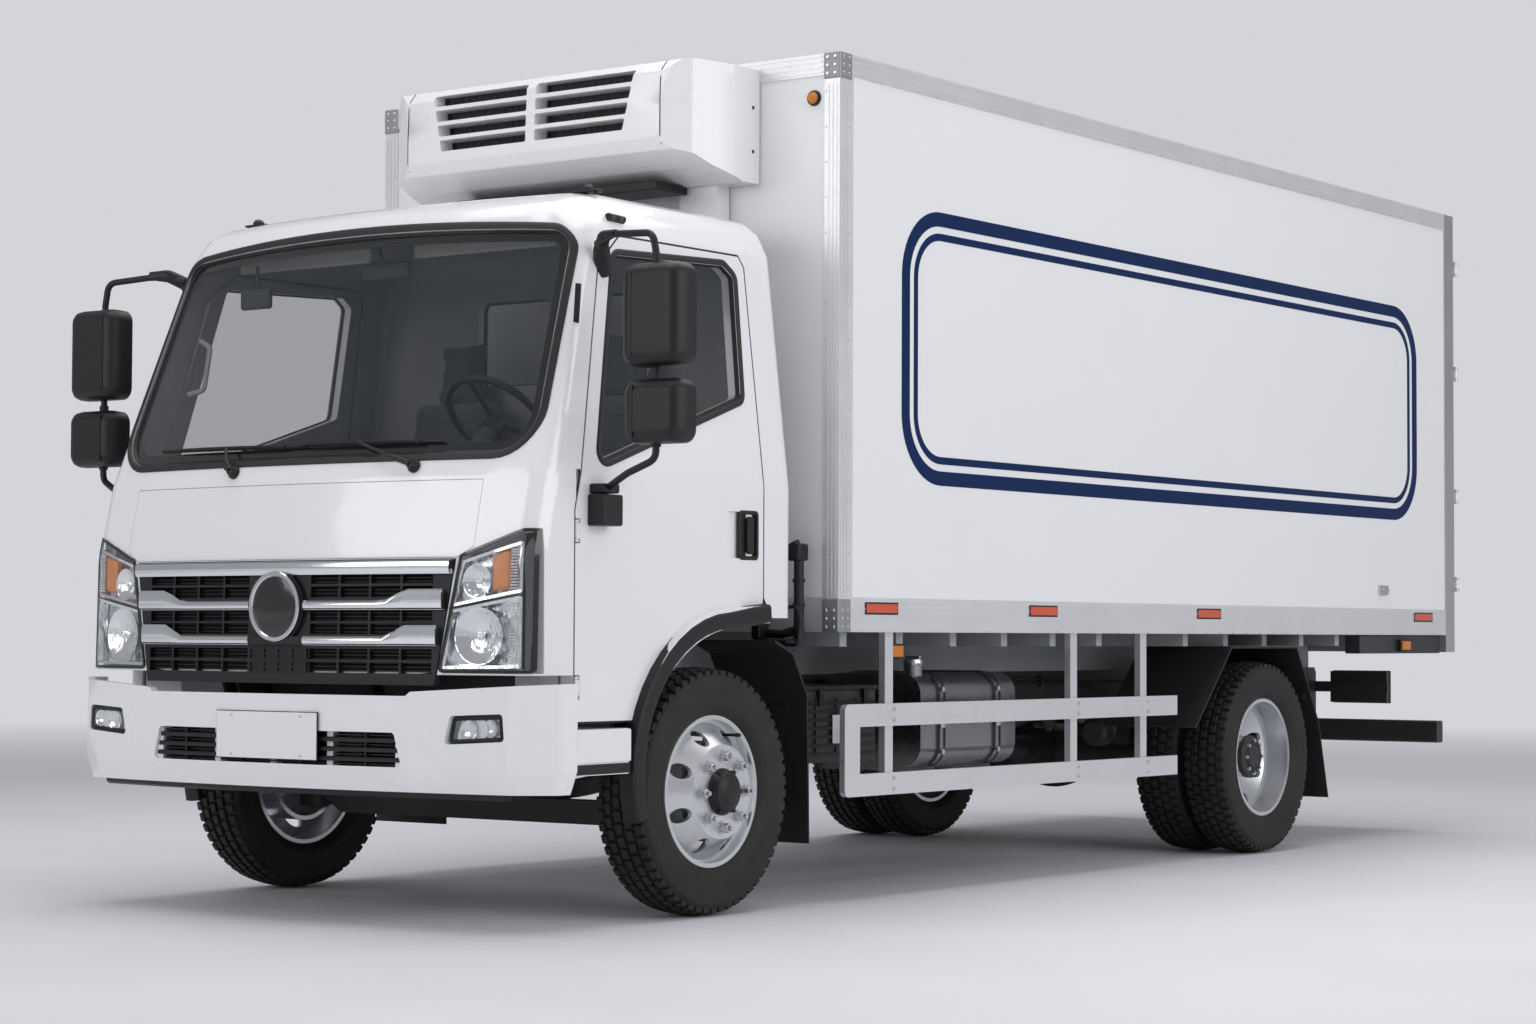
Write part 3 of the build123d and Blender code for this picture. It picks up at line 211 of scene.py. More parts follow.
class Finish:
    """A material with one Principled shader and short names for the nodes that feed it."""

    def __init__(self, name, colour, roughness, **sockets):
        self.material = bpy.data.materials.new(name)
        self.material.use_nodes = True
        self.tree = self.material.node_tree
        self.shader = self.tree.nodes["Principled BSDF"]
        self.feed({"Base Color": colour, "Roughness": roughness})
        self.feed({key.replace("_", " "): value for key, value in sockets.items()})
        self.colour, self.roughness = colour, roughness

    def feed(self, values):
        for socket, value in values.items():
            plug(self.tree, value, self.shader.inputs[socket])
        return self

    def node(self, kind, settings=None, values=None, output=0):
        made = self.tree.nodes.new(kind)
        for key, value in (settings or {}).items():
            setattr(made, key, value)
        for socket, value in (values or {}).items():
            plug(self.tree, value, made.inputs[socket])
        return Wire(self.tree, made.outputs[output])

    def place(self, stretch=(1, 1, 1)):
        """Object coordinates, stretched along each axis."""
        point = self.node("ShaderNodeTexCoord", output="Object")
        return self.node("ShaderNodeMapping", values={"Vector": point, "Scale": stretch})

    def axis(self, letter):
        """One object coordinate as a number."""
        point = self.node("ShaderNodeTexCoord", output="Object")
        return self.node("ShaderNodeSeparateXYZ", values={"Vector": point}, output=letter)

    def noise(self, scale, detail=3, stretch=(1, 1, 1)):
        return self.node("ShaderNodeTexNoise", values={
            "Vector": self.place(stretch), "Scale": scale, "Detail": detail})

    def cells(self, scale, stretch=(1, 1, 1)):
        return self.node("ShaderNodeTexVoronoi", values={"Vector": self.place(stretch), "Scale": scale})

    def blend(self, share, low, high):
        """One colour turning into another."""
        return self.node("ShaderNodeMix", {"data_type": "RGBA"}, {0: share, 6: low, 7: high}, output=2)

    def bump(self, height, depth, strength=1.0):
        """Relief of this depth in metres where the height goes from 0 to 1."""
        return self.feed({"Normal": self.node("ShaderNodeBump", values={
            "Height": height, "Distance": depth, "Strength": strength})})

    def mottle(self, scale, colour_change, roughness_change):
        """Slow changes of tone and gloss, as on any real surface."""
        cloud = self.noise(scale, 4)
        darker = tuple(c * (1 - colour_change) for c in self.colour)
        lighter = tuple(min(1, c * (1 + colour_change)) for c in self.colour)
        self.feed({"Base Color": self.blend(cloud, darker, lighter),
                   "Roughness": self.roughness + (cloud - 0.5) * roughness_change * 2})


print("shader helpers ready")

# %% [markdown]
# ## Finishes
#
# The cab is painted steel: a clear coat over white, with the faint ripple that painters call orange peel.
# The body panels are glass-fibre sheet, flatter and less glossy, with a trace of the fibre under the gel
# coat. Moulded bumpers and lamp surrounds share the paint but are a touch softer in their gloss.

# %% White paint, body panels and mouldings
def surfaced(name, colour, roughness, mottle, grain=None, **sockets):
    """A finish with slow mottling and, where given, a noise grain: scale, detail, depth and strength."""
    finish = Finish(name, colour, roughness, **sockets)
    finish.mottle(*mottle)
    if grain:
        finish.bump(finish.noise(*grain[:2]), *grain[2:])
    return finish


white_paint = surfaced("white_paint", (0.82, 0.825, 0.84), 0.22, (1.7, 0.012, 0.03), (260, 2, 0.0006, 0.12),
                       Coat_Weight=0.7, Coat_Roughness=0.06)
moulded_white = surfaced("moulded_white", (0.81, 0.815, 0.83), 0.27, (3.1, 0.012, 0.03),
                         (340, 2, 0.0006, 0.12), Coat_Weight=0.45, Coat_Roughness=0.12)
panel_white = surfaced("panel_white", (0.80, 0.805, 0.82), 0.34, (2.3, 0.014, 0.04),
                       Coat_Weight=0.25, Coat_Roughness=0.2)
panel_white.bump(panel_white.noise(38, 3) + 0.4 * panel_white.noise(420, 2), 0.0012, 0.10)
print(f"{len(bpy.data.materials)} materials, with those of the CAD nodes")

# %% [markdown]
# Aluminium sections are extruded, so their grain runs along them and their gloss changes in long streaks.
# Stretching the noise along an axis draws those streaks: rails and guards run along Y, the rear frame's
# posts along Z.

# %% Metals
def extruded(name, colour, roughness, stretch, metallic=1.0):
    """Bright aluminium with its grain along the direction in which the noise is stretched."""
    finish = Finish(name, colour, roughness, Metallic=metallic)
    streaks = finish.noise(60, 4, stretch)
    worn = finish.noise(5, 3)
    finish.feed({
        "Roughness": roughness + (streaks - 0.5) * 0.22 + (worn - 0.5) * 0.12,
        "Base Color": finish.blend(worn, tuple(0.9 * c for c in colour), colour)})
    finish.bump(streaks, 0.0008, 0.25)
    return finish


rail_aluminium = extruded("rail_aluminium", (0.80, 0.805, 0.825), 0.36, (1, 0.02, 1), 0.55)
guard_aluminium = extruded("guard_aluminium", (0.80, 0.805, 0.825), 0.32, (1, 0.02, 1), 0.7)
frame_steel = extruded("frame_steel", (0.60, 0.605, 0.62), 0.40, (1, 1, 0.05))
tank_metal = extruded("tank_metal", (0.30, 0.305, 0.31), 0.30, (1, 0.03, 1))

casting_grey = surfaced("casting_grey", (0.33, 0.335, 0.35), 0.5, (24, 0.12, 0.08), (520, 3, 0.0008, 0.35),
                        Metallic=0.75)
wheel_silver = surfaced("wheel_silver", (0.68, 0.69, 0.71), 0.30, (14, 0.05, 0.07), (700, 2, 0.0004, 0.25),
                        Metallic=0.85, Coat_Weight=0.3)
nut_steel = surfaced("nut_steel", (0.62, 0.62, 0.64), 0.28, (90, 0.10, 0.10), Metallic=1.0)

chrome = Finish("chrome", (0.78, 0.79, 0.81), 0.12, Metallic=1.0)
chrome.feed({"Roughness": 0.10 + chrome.noise(16, 3) * 0.07})
mirror_chrome = Finish("mirror_chrome", (0.90, 0.91, 0.92), 0.05, Metallic=1.0)
mirror_chrome.feed({"Roughness": 0.03 + mirror_chrome.noise(60, 2) * 0.05})
print(f"{len(bpy.data.materials)} materials with the metals")

# %% [markdown]
# Under the body almost everything is black, yet not the same black: the ladder frame is satin paint with a
# film of road dust on what faces upwards, castings are rough, and the mudguards are grained plastic.

# %% Black chassis paints
def dusty(name, colour, roughness, dust, grain_scale, grain_depth):
    """Black paint or casting with dust where the surface faces up."""
    finish = Finish(name, colour, roughness)
    normal = finish.node("ShaderNodeNewGeometry", output="Normal")
    facing_up = finish.node("ShaderNodeSeparateXYZ", values={"Vector": normal}, output="Z")
    patches = finish.noise(9, 4)
    film = facing_up.above(0.75, 0.5) * patches * dust + finish.noise(3, 3) * dust * 0.25
    finish.feed({"Base Color": finish.blend(film, colour, (0.30, 0.29, 0.27)),
                 "Roughness": roughness + film * 0.4})
    finish.bump(finish.noise(grain_scale, 3), grain_depth, 0.4)
    return finish


chassis_black = dusty("chassis_black", (0.018, 0.018, 0.020), 0.42, 0.25, 300, 0.0006)
cast_black = dusty("cast_black", (0.022, 0.022, 0.023), 0.60, 0.35, 160, 0.0014)
spring_black = dusty("spring_black", (0.028, 0.027, 0.027), 0.55, 0.35, 220, 0.0010)
engine_grey = dusty("engine_grey", (0.055, 0.058, 0.062), 0.55, 0.30, 140, 0.0014)
print(f"{len(bpy.data.materials)} materials with the chassis blacks")

# %% [markdown]
# Plastic mouldings get their look from a fine leather-like grain. Voronoi cells of about a millimetre make
# it, and the slight haze of handling changes the gloss from place to place. Rubber is smoother but duller,
# and tyres carry a brown-grey bloom that gathers on the sidewall.

# %% Plastics and rubbers
def grained(name, colour, roughness, cell, depth):
    """Moulded plastic with a grain of this cell size in metres."""
    finish = Finish(name, colour, roughness, Specular_IOR_Level=0.35)
    finish.mottle(6, 0.10, 0.05)
    finish.bump(finish.cells(1 / cell), depth, 0.5)
    return finish


black_plastic = grained("black_plastic", (0.011, 0.011, 0.012), 0.42, 0.0022, 0.0006)
guard_plastic = grained("guard_plastic", (0.017, 0.017, 0.018), 0.52, 0.004, 0.0008)
dash_plastic = grained("dash_plastic", (0.060, 0.062, 0.066), 0.55, 0.0025, 0.0006)
pale_trim = grained("pale_trim", (0.30, 0.305, 0.31), 0.62, 0.003, 0.0006)
gloss_black = Finish("gloss_black", (0.012, 0.012, 0.013), 0.14, Coat_Weight=0.5)
gloss_black.feed({"Roughness": 0.12 + gloss_black.noise(22, 3) * 0.08})

seal_rubber = surfaced("seal_rubber", (0.012, 0.012, 0.013), 0.55, (18, 0.2, 0.08), (420, 2, 0.0006, 0.3))

tyre_rubber = Finish("tyre_rubber", (0.014, 0.014, 0.0145), 0.62, Specular_IOR_Level=0.35)
bloom = tyre_rubber.noise(7, 4)
tyre_rubber.feed({
    "Base Color": tyre_rubber.blend(bloom.above(0.55, 0.5), (0.012, 0.012, 0.0125), (0.026, 0.025, 0.024)),
    "Roughness": 0.56 + bloom * 0.16})
tyre_rubber.bump(tyre_rubber.noise(480, 3), 0.0006, 0.35)
print(f"{len(bpy.data.materials)} materials with the plastics and rubbers")

# %% [markdown]
# Glass is made with the shader's Alpha instead of refraction. A pane is thin, so nothing is seen bent
# through it, and light still reaches the seats. The tint lets about two thirds through, and the sharp gloss
# comes from the low roughness. Lamp covers work the same way with less tint.

# %% Glass, lenses and coloured lamps
def clear(name, colour, alpha, roughness=0.03):
    finish = Finish(name, colour, roughness, Alpha=alpha, IOR=1.5)
    finish.feed({"Roughness": roughness + finish.noise(4, 3) * 0.02})
    finish.material.surface_render_method = "BLENDED"
    return finish


cab_glass = clear("cab_glass", (0.060, 0.070, 0.078), 0.17)
lens_clear = clear("lens_clear", (0.55, 0.57, 0.60), 0.14)
lens_amber = clear("lens_amber", (0.75, 0.24, 0.02), 0.80, 0.12)
lens_red = clear("lens_red", (0.50, 0.015, 0.012), 0.85, 0.12)


def ribbed_lens(finish, pitch):
    """Fine prisms moulded inside a coloured lens."""
    ribs = finish.axis("Z").saw(pitch).maths("PINGPONG", finish.axis("Z"), pitch / 2) / (pitch / 2)
    return finish.bump(ribs, 0.0015, 0.5)


ribbed_lens(lens_amber, 0.006)
ribbed_lens(lens_red, 0.008)

reflector_red = surfaced("reflector_red", (0.62, 0.075, 0.030), 0.25, (30, 0.1, 0.05), Coat_Weight=0.4)
reflector_red.bump(reflector_red.cells(230), 0.0010, 0.8)

plate_white = surfaced("plate_white", (0.80, 0.805, 0.82), 0.35, (12, 0.015, 0.05), Coat_Weight=0.2)
navy_film = surfaced("navy_film", (0.003, 0.018, 0.080), 0.45, (3, 0.06, 0.05), (60, 2, 0.0005, 0.1),
                     Specular_IOR_Level=0.12)
print(f"{len(bpy.data.materials)} materials with glass, lenses and film")

# %% [markdown]
# Inside, the seats are woven cloth, the load floor is grey grip sheet and the headlining is pale felt. A
# weave is two waves at right angles: where one thread is high the other dips under it.

# %% Cloth and floors
seat_cloth = surfaced("seat_cloth", (0.085, 0.088, 0.095), 0.85, (14, 0.16, 0.04), Sheen_Weight=0.25)
thread = 0.0035
warp, weft = (
    seat_cloth.node("ShaderNodeMath", {"operation": "SINE"}, {0: across_threads * (2 * pi / thread)})
    for across_threads in (seat_cloth.axis("X"), seat_cloth.axis("Y") + seat_cloth.axis("Z")))
seat_cloth.bump(warp * weft, 0.0008, 0.6)

felt = surfaced("felt", (0.42, 0.42, 0.41), 0.95, (30, 0.08, 0.02), (600, 4, 0.0015, 0.6))

load_floor = surfaced("load_floor", (0.30, 0.31, 0.32), 0.6, (5, 0.15, 0.08))
load_floor.bump(load_floor.cells(160), 0.0015, 0.7)

print(f"{len(bpy.data.materials)} materials in all")

# %% [markdown]
# ## Dressing the CAD nodes
#
# A CAD mesh arrives as loose triangles. Two modifiers make it look like pressed metal without touching the
# mesh itself: a small node group welds the corners and marks an edge as sharp where it turns by more than
# an angle, and Weighted Normal lets the flat faces win over the narrow ones beside them.

# %% Smooth shading for curved nodes
def crease_group(name, angle):
    """A node group that welds a mesh and keeps only its real edges sharp."""
    group = bpy.data.node_groups.new(name, "GeometryNodeTree")
    group.interface.new_socket("Geometry", in_out="INPUT", socket_type="NodeSocketGeometry")
    group.interface.new_socket("Geometry", in_out="OUTPUT", socket_type="NodeSocketGeometry")
    start = group.nodes.new("NodeGroupInput")
    weld = group.nodes.new("GeometryNodeMergeByDistance")
    weld.inputs["Distance"].default_value = 2e-5
    fold = group.nodes.new("GeometryNodeInputMeshEdgeAngle")
    sharp = group.nodes.new("FunctionNodeCompare")
    sharp.data_type, sharp.operation = "FLOAT", "GREATER_THAN"
    sharp.inputs[1].default_value = angle
    smooth_faces = group.nodes.new("GeometryNodeSetShadeSmooth")
    keep_edges = group.nodes.new("GeometryNodeSetShadeSmooth")
    keep_edges.domain = "EDGE"
    keep_edges.inputs["Shade Smooth"].default_value = False
    end = group.nodes.new("NodeGroupOutput")
    group.links.new(start.outputs[0], weld.inputs["Geometry"])
    group.links.new(weld.outputs["Geometry"], smooth_faces.inputs["Geometry"])
    group.links.new(smooth_faces.outputs["Geometry"], keep_edges.inputs["Geometry"])
    group.links.new(fold.outputs["Unsigned Angle"], sharp.inputs[0])
    group.links.new(sharp.outputs["Result"], keep_edges.inputs["Selection"])
    group.links.new(keep_edges.outputs["Geometry"], end.inputs[0])
    return group


crease = crease_group("crease_by_angle", radians(32))


def smooth(piece):
    """Sharp creases and shading that follows the large faces."""
    fold = piece.modifiers.new("crease", "NODES")
    fold.node_group = crease
    weigh = piece.modifiers.new("weigh", "WEIGHTED_NORMAL")
    weigh.keep_sharp = True
    weigh.weight = 80


print(f"{crease.name} has {len(crease.nodes)} nodes")

# %% Finishes of the nodes
node_finishes = (               # finish, whether its nodes are curved, and the nodes
    (white_paint, True, "cab_shell cab_front_panel cab_door_left cab_door_right"),
    (moulded_white, True, "reefer_unit front_bumper entry_steps"),
    (panel_white, False, "box_walls box_roof cargo_door_left cargo_door_right"),
    (chassis_black, False, "chassis_frame rear_bumper battery_box"),
    (cast_black, True, "front_axle rear_axle knuckle_left knuckle_right tie_rod"),
    (black_plastic, True, "grille mirror_left mirror_right steering_wheel"),
    (wheel_silver, True, "front_wheel_left front_wheel_right rear_wheels_left rear_wheels_right"),
    (tyre_rubber, True, "front_tyre_left front_tyre_right rear_tyres_left rear_tyres_right"),
    (cab_glass, False, "cab_glass door_glass_left door_glass_right"),
    (spring_black, False, "leaf_springs"), (engine_grey, False, "powertrain"),
    (tank_metal, True, "fuel_tank"), (guard_aluminium, False, "side_guards"),
    (guard_plastic, False, "mudguards"), (load_floor, False, "box_floor"),
    (rail_aluminium, False, "box_edge_trim"), (frame_steel, False, "rear_frame"),
    (lens_clear, False, "headlamps"), (dash_plastic, True, "dashboard"), (seat_cloth, False, "seats"))
for finish, curved, names in node_finishes:
    for name in names.split():
        piece = nodes[name]
        piece.data.materials.clear()
        piece.data.materials.append(finish.material)
        if curved:
            smooth(piece)
print("every node has a finish")

# %% [markdown]
# ## Tools for adding pieces
#
# Every piece below is made the same way: a bmesh is filled with a few operators, and `new_piece` turns it
# into an object that rides a body. A piece only names its finish and its body.


def as_object(name, shape, finish):
    """Turns a bmesh into an object in one finish."""
    data = bpy.data.meshes.new(name)
    shape.to_mesh(data)
    shape.free()
    data.materials.append(finish.material)
    made = bpy.data.objects.new(name, data)
    scene.collection.objects.link(made)
    return made


def new_piece(name, shape, finish, body, curved=True, bevel=0.0):
    """Turns a bmesh into a finished piece that rides a body."""
    bmesh.ops.recalc_face_normals(shape, faces=shape.faces)
    piece = as_object(name, shape, finish)
    if bevel:
        edge = piece.modifiers.new("edge", "BEVEL")
        edge.width, edge.segments, edge.limit_method = bevel, 2, "ANGLE"
        edge.angle_limit = radians(35)
    if curved:
        smooth(piece)
    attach(piece, body)
    return piece


# %% Solids that go into a bmesh
def block(shape, low, high, radius=0.0, steps=3):
    """A box between two corners, with rounded edges if it has a radius."""
    low, high = Vector(low), Vector(high)
    part = bmesh.new()
    place = Matrix.Translation((low + high) / 2) @ Matrix.Diagonal((*(high - low), 1))
    bmesh.ops.create_cube(part, size=1, matrix=place)
    if radius:
        bmesh.ops.bevel(part, geom=part.edges[:], offset=radius, segments=steps, profile=0.5, affect="EDGES")
    absorb(shape, part)


def side_block(shape, side, x, y, z, radius=0.0, steps=3):
    """A box between two distances from the centre line on one side, two Y and two heights."""
    across = sorted((side * x[0], side * x[1]))
    block(shape, (across[0], y[0], z[0]), (across[1], y[1], z[1]), radius, steps)


def around(y, half):
    """The two Y of a part whose middle is this far behind the front axle."""
    return aft(y - half), aft(y + half)


def spread(half, steps):
    """Evenly spaced places from -half to half."""
    return [half * (2 * step / steps - 1) for step in range(steps + 1)]


def facing(place, direction):
    """A matrix at a place whose local Z points in a direction."""
    return Matrix.Translation(place) @ Vector(direction).to_track_quat("Z", "Y").to_matrix().to_4x4()


def drum(shape, place, direction, radius, length, far_radius=None, segments=32):
    """A cylinder or cone centred on a place along a direction."""
    bmesh.ops.create_cone(shape, cap_ends=True, segments=segments, radius1=radius, depth=length,
                          radius2=radius if far_radius is None else far_radius,
                          matrix=facing(place, direction))


def absorb(shape, part):
    """Moves the geometry of one bmesh into another."""
    data = bpy.data.meshes.new("part")
    part.to_mesh(data)
    part.free()
    shape.from_mesh(data)
    bpy.data.meshes.remove(data)


def turned(shape, profile, place, direction, segments=48):
    """A profile of (distance along the axis, radius) points spun round an axis, closed where it leaves it."""
    part = bmesh.new()
    turn = facing(place, direction)
    points = [part.verts.new(turn @ Vector((radius, 0, along))) for along, radius in profile]
    edges = [part.edges.new(pair) for pair in zip(points, points[1:])]
    if profile[0][1] > 0 or profile[-1][1] > 0:
        edges.append(part.edges.new((points[-1], points[0])))
    bmesh.ops.spin(part, geom=points + edges, cent=place, axis=Vector(direction), angle=2 * pi,
                   steps=segments, use_merge=True)
    bmesh.ops.remove_doubles(part, verts=part.verts, dist=1e-6)
    absorb(shape, part)


def loft(shape, rings, ends="fill"):
    """Rings with the same number of points, joined one to the next; ends are filled, joined or left open."""
    loops = [[shape.verts.new(point) for point in ring] for ring in rings]
    pairs = list(zip(loops, loops[1:]))
    if ends == "join":
        pairs.append((loops[-1], loops[0]))
    for near, far in pairs:
        for i in range(len(near)):
            shape.faces.new((near[i - 1], near[i], far[i], far[i - 1]))
    if ends == "fill":
        shape.faces.new(loops[0])
        shape.faces.new(loops[-1])


print("solids ready")

# %% [markdown]
# Seals, bands and lamp frames follow an outline with rounded corners that is drawn flat and then laid on
# the truck's own surface. A ray cast at the CAD meshes finds that surface, so a seal sits where the
# pressing really is. A band needs more than its corners: its straight runs are divided to follow the curve.

# %% Outlines on the truck's surface
def rounded(corners, radius, grow=0.0, steps=6):
    """A flat outline with rounded corners, grown outwards by a distance."""
    points = []
    radii = radius if hasattr(radius, "__len__") else [radius] * len(corners)
    for i, corner in enumerate(corners):
        here, before = Vector(corner), Vector(corners[i - 1])
        after = Vector(corners[(i + 1) % len(corners)])
        back, ahead_of = (before - here).normalized(), (after - here).normalized()
        half = back.angle(ahead_of) / 2
        centre = here + (back + ahead_of).normalized() * radii[i] / sin(half)
        first = (here + back * radii[i] / tan(half) - centre).normalized()
        last = (here + ahead_of * radii[i] / tan(half) - centre).normalized()
        points += [centre + first.slerp(last, step / steps) * (radii[i] + grow) for step in range(steps + 1)]
    return points


def outline(corners, radius, grow=0.0, pitch=0.05, steps=5):
    """A rounded, grown outline with its long runs divided alike whatever the growth."""
    plain, grown = rounded(corners, radius, 0.0, steps), rounded(corners, radius, grow, steps)
    points = []
    for i, here in enumerate(plain):
        nxt = (i + 1) % len(plain)
        parts = max(1, round((plain[nxt] - here).length / pitch))
        points += [grown[i].lerp(grown[nxt], part / parts) for part in range(parts)]
    return points


def dish(shape, rim, axis, radius, depth, wall, lip, rings, sides):
    """A parabolic reflector of even thickness with a lip round its rim."""
    inside = [(-depth * (1 - (ring / rings) ** 2), radius * ring / rings) for ring in range(rings + 1)]
    outside = [(along - wall, out) for along, out in reversed(inside)]
    turned(shape, inside + [(0.001, radius + lip)] + outside, rim, axis, sides)


def swept(shape, stations, section, ends="fill"):
    """A form that changes along X: section gives the Y and Z of its corners at an X."""
    loft(shape, [[Vector((x, y, z)) for y, z in section(x)] for x in stations], ends)


def facing_side(shape, side, corners, radius, rows, pitch=0.05, ends="fill", steps=5):
    """A (Y, Z) outline on the truck's side: each row gives its growth and its distance from the middle."""
    loft(shape, [[Vector((side * x, y, z)) for y, z in outline(corners, radius, grow, pitch, steps)]
                 for grow, x in rows], ends)


def facing_end(shape, side, corners, radius, rows, pitch=0.05, ends="fill"):
    """An (X, Z) outline that faces forwards or backwards: each row gives its growth and its Y."""
    loft(shape, [[Vector((side * x, y, z)) for x, z in outline(corners, radius, grow, pitch)]
                 for grow, y in rows], ends)


def band_rows(outer, inner, high, low=0.0002):
    """The four edges of a flat band: each one's growth and how far it stands off the surface."""
    return (outer, high), (inner, high), (inner, low), (outer, low)


def oblong(across, height, half_across, half_height):
    """The four corners of an upright rectangle round a middle."""
    return [(across + sx * half_across, height + sz * half_height)
            for sx, sz in ((1, 1), (-1, 1), (-1, -1), (1, -1))]


def between(start, end, share):
    """A flat point part of the way from one to another."""
    return tuple(a + (b - a) * share for a, b in zip(start, end))


def surface(*names):
    """A tree for rays, made from the meshes of CAD nodes."""
    vertices, faces = [], []
    for name in names:
        data = nodes[name].data
        start = len(vertices)
        vertices += [vertex.co.copy() for vertex in data.vertices]
        faces += [[start + index for index in face.vertices] for face in data.polygons]
    return BVHTree.FromPolygons(vertices, faces)


def hit_from(tree, start, direction, otherwise=None):
    """Where a ray meets the surface, or another place if it misses."""
    point = tree.ray_cast(Vector(start), Vector(direction))[0]
    return otherwise if point is None else point


print("piece helpers ready")

# %% [markdown]
# ## Tyres
#
# A truck tyre is a moulded carcass with a bandage of tread blocks. The carcass is one profile spun round the
# axle: groove floor, rounded shoulder, bulging sidewall with its protector ribs, and bead. The tread is
# five ribs of small tapered blocks, half a pitch out of step from rib to rib, so the grooves zigzag. One
# block of each rib is made and then repeated round the wheel.

# %% Carcass and tread
tread_pitches = 58
tread_depth = 0.013
crown_drop = 0.014          # the tread's edge is this much lower than its middle
tread_half = 0.106
block_height = 0.017
tread_ribs = (              # place across, width, shift in pitches, length in pitches
    (-0.089, 0.036, 0.0, 0.70), (-0.045, 0.031, 0.5, 0.84), (0.0, 0.033, 0.0, 0.84),
    (0.045, 0.031, 0.5, 0.84), (0.089, 0.036, 0.0, 0.70))
carcass_flank = (           # place across, radius, from the shoulder to the bead
    (0.109, 0.452), (0.1125, 0.444), (0.1165, 0.440), (0.1185, 0.415), (0.1190, 0.408), (0.1175, 0.404),
    (0.1185, 0.385), (0.1150, 0.350), (0.1170, 0.345), (0.1160, 0.339), (0.1080, 0.322), (0.0960, 0.306),
    (0.0885, 0.298), (0.0800, 0.294))


def crown(across):
    """Radius of the tread's surface at a place across the tyre."""
    return tyre_radius - 0.001 - crown_drop * (across / tread_half) ** 2


def carcass(shape, centre):
    """The tyre without its blocks."""
    outside = [(across, crown(across) - tread_depth) for across in (0.0, 0.05, 0.098)] + list(carcass_flank)
    profile = outside + [(-across, radius) for across, radius in reversed(outside[1:])]
    turned(shape, profile, centre, (1, 0, 0), 72)


def tread(shape, centre):
    """Five ribs of blocks round the carcass."""
    pitch = 2 * pi / tread_pitches
    for across, width, shift, share in tread_ribs:
        part = bmesh.new()
        size = (width, share * pitch * tyre_radius, block_height)
        bmesh.ops.create_cube(part, size=1, matrix=Matrix.Diagonal((*size, 1)))
        top = [vertex for vertex in part.verts if vertex.co.z > 0]
        bmesh.ops.scale(part, vec=(0.90, 0.88, 1), verts=top)
        rim_edges = [edge for edge in part.edges if edge.verts[0] in top and edge.verts[1] in top]
        bmesh.ops.bevel(part, geom=rim_edges, offset=0.0022, segments=1, profile=0.5, affect="EDGES")
        lean = Matrix.Rotation(2 * crown_drop * across / tread_half**2, 4, "Y")
        place = Matrix.Rotation(shift * pitch, 4, "X") @ Matrix.Translation(
            (across, 0, crown(across) - block_height / 2))
        bmesh.ops.transform(part, matrix=Matrix.Translation(centre) @ place @ lean, verts=part.verts)
        bmesh.ops.spin(part, geom=part.verts[:] + part.edges[:] + part.faces[:], cent=centre, axis=(1, 0, 0),
                       angle=2 * pi - pitch, steps=tread_pitches - 1, use_duplicate=True)
        absorb(shape, part)


def tyre_piece(name, centres, body, replaced):
    shape = bmesh.new()
    for centre in centres:
        carcass(shape, centre)
        tread(shape, centre)
    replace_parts(new_piece(name, shape, tyre_rubber, body), replaced)


print(f"a tread block every {2 * pi * tyre_radius / tread_pitches * 1000:.0f} mm")

# %% Six tyres
front_tyre_x = (tyre_low.x + tyre_high.x) / 2
twin_x = (rear_low.x + tyre_width / 2, rear_high.x - tyre_width / 2)
for side, word, _ in SIDES:
    front_centre = Vector((side * front_tyre_x, front_axle_y, axle_height))
    tyre_piece(f"front_tyre_{word}_tread", [front_centre], f"{word}_front_wheel", f"front_tyre_{word}")
    twin_centres = [Vector((side * x, rear_axle_y, axle_height)) for x in twin_x]
    tyre_piece(f"rear_tyres_{word}_tread", twin_centres, f"{word}_rear_wheels", f"rear_tyres_{word}")
print("six tyres with", tread_pitches * len(tread_ribs), "blocks each")

# %% [markdown]
# ## Wheel dress
#
# Eight hex nuts on their washers hold each disc. The front hub ends in a pressed black cap inside a ring of
# bolts; the rear hub shows the flange of the axle shaft. A valve stem reaches out between two hand holes.

# %% Nuts, caps and valves
def hex_nut(shape, place, direction, across_flats, height):
    """A nut with chamfered corners on a round washer, and the stud through it."""
    direction = Vector(direction)
    drum(shape, place + direction * 0.002, direction, across_flats * 0.80, 0.004, segments=24)
    drum(shape, place + direction * (0.004 + height / 2), direction, across_flats / sqrt(3), height,
         segments=6)
    drum(shape, place + direction * (0.003 + height), direction, across_flats * 0.46, 0.006,
         across_flats * 0.40, 16)
    drum(shape, place + direction * (0.012 + height), direction, 0.010, 0.016, 0.009, 12)


def bolt_ring(shape, centre, direction, radius, count, size, height, start=0.0):
    for bolt in range(count):
        angle = 2 * pi * bolt / count + start
        place = centre + Vector((0, sin(angle), cos(angle))) * radius
        hex_nut(shape, place, direction, size, height)


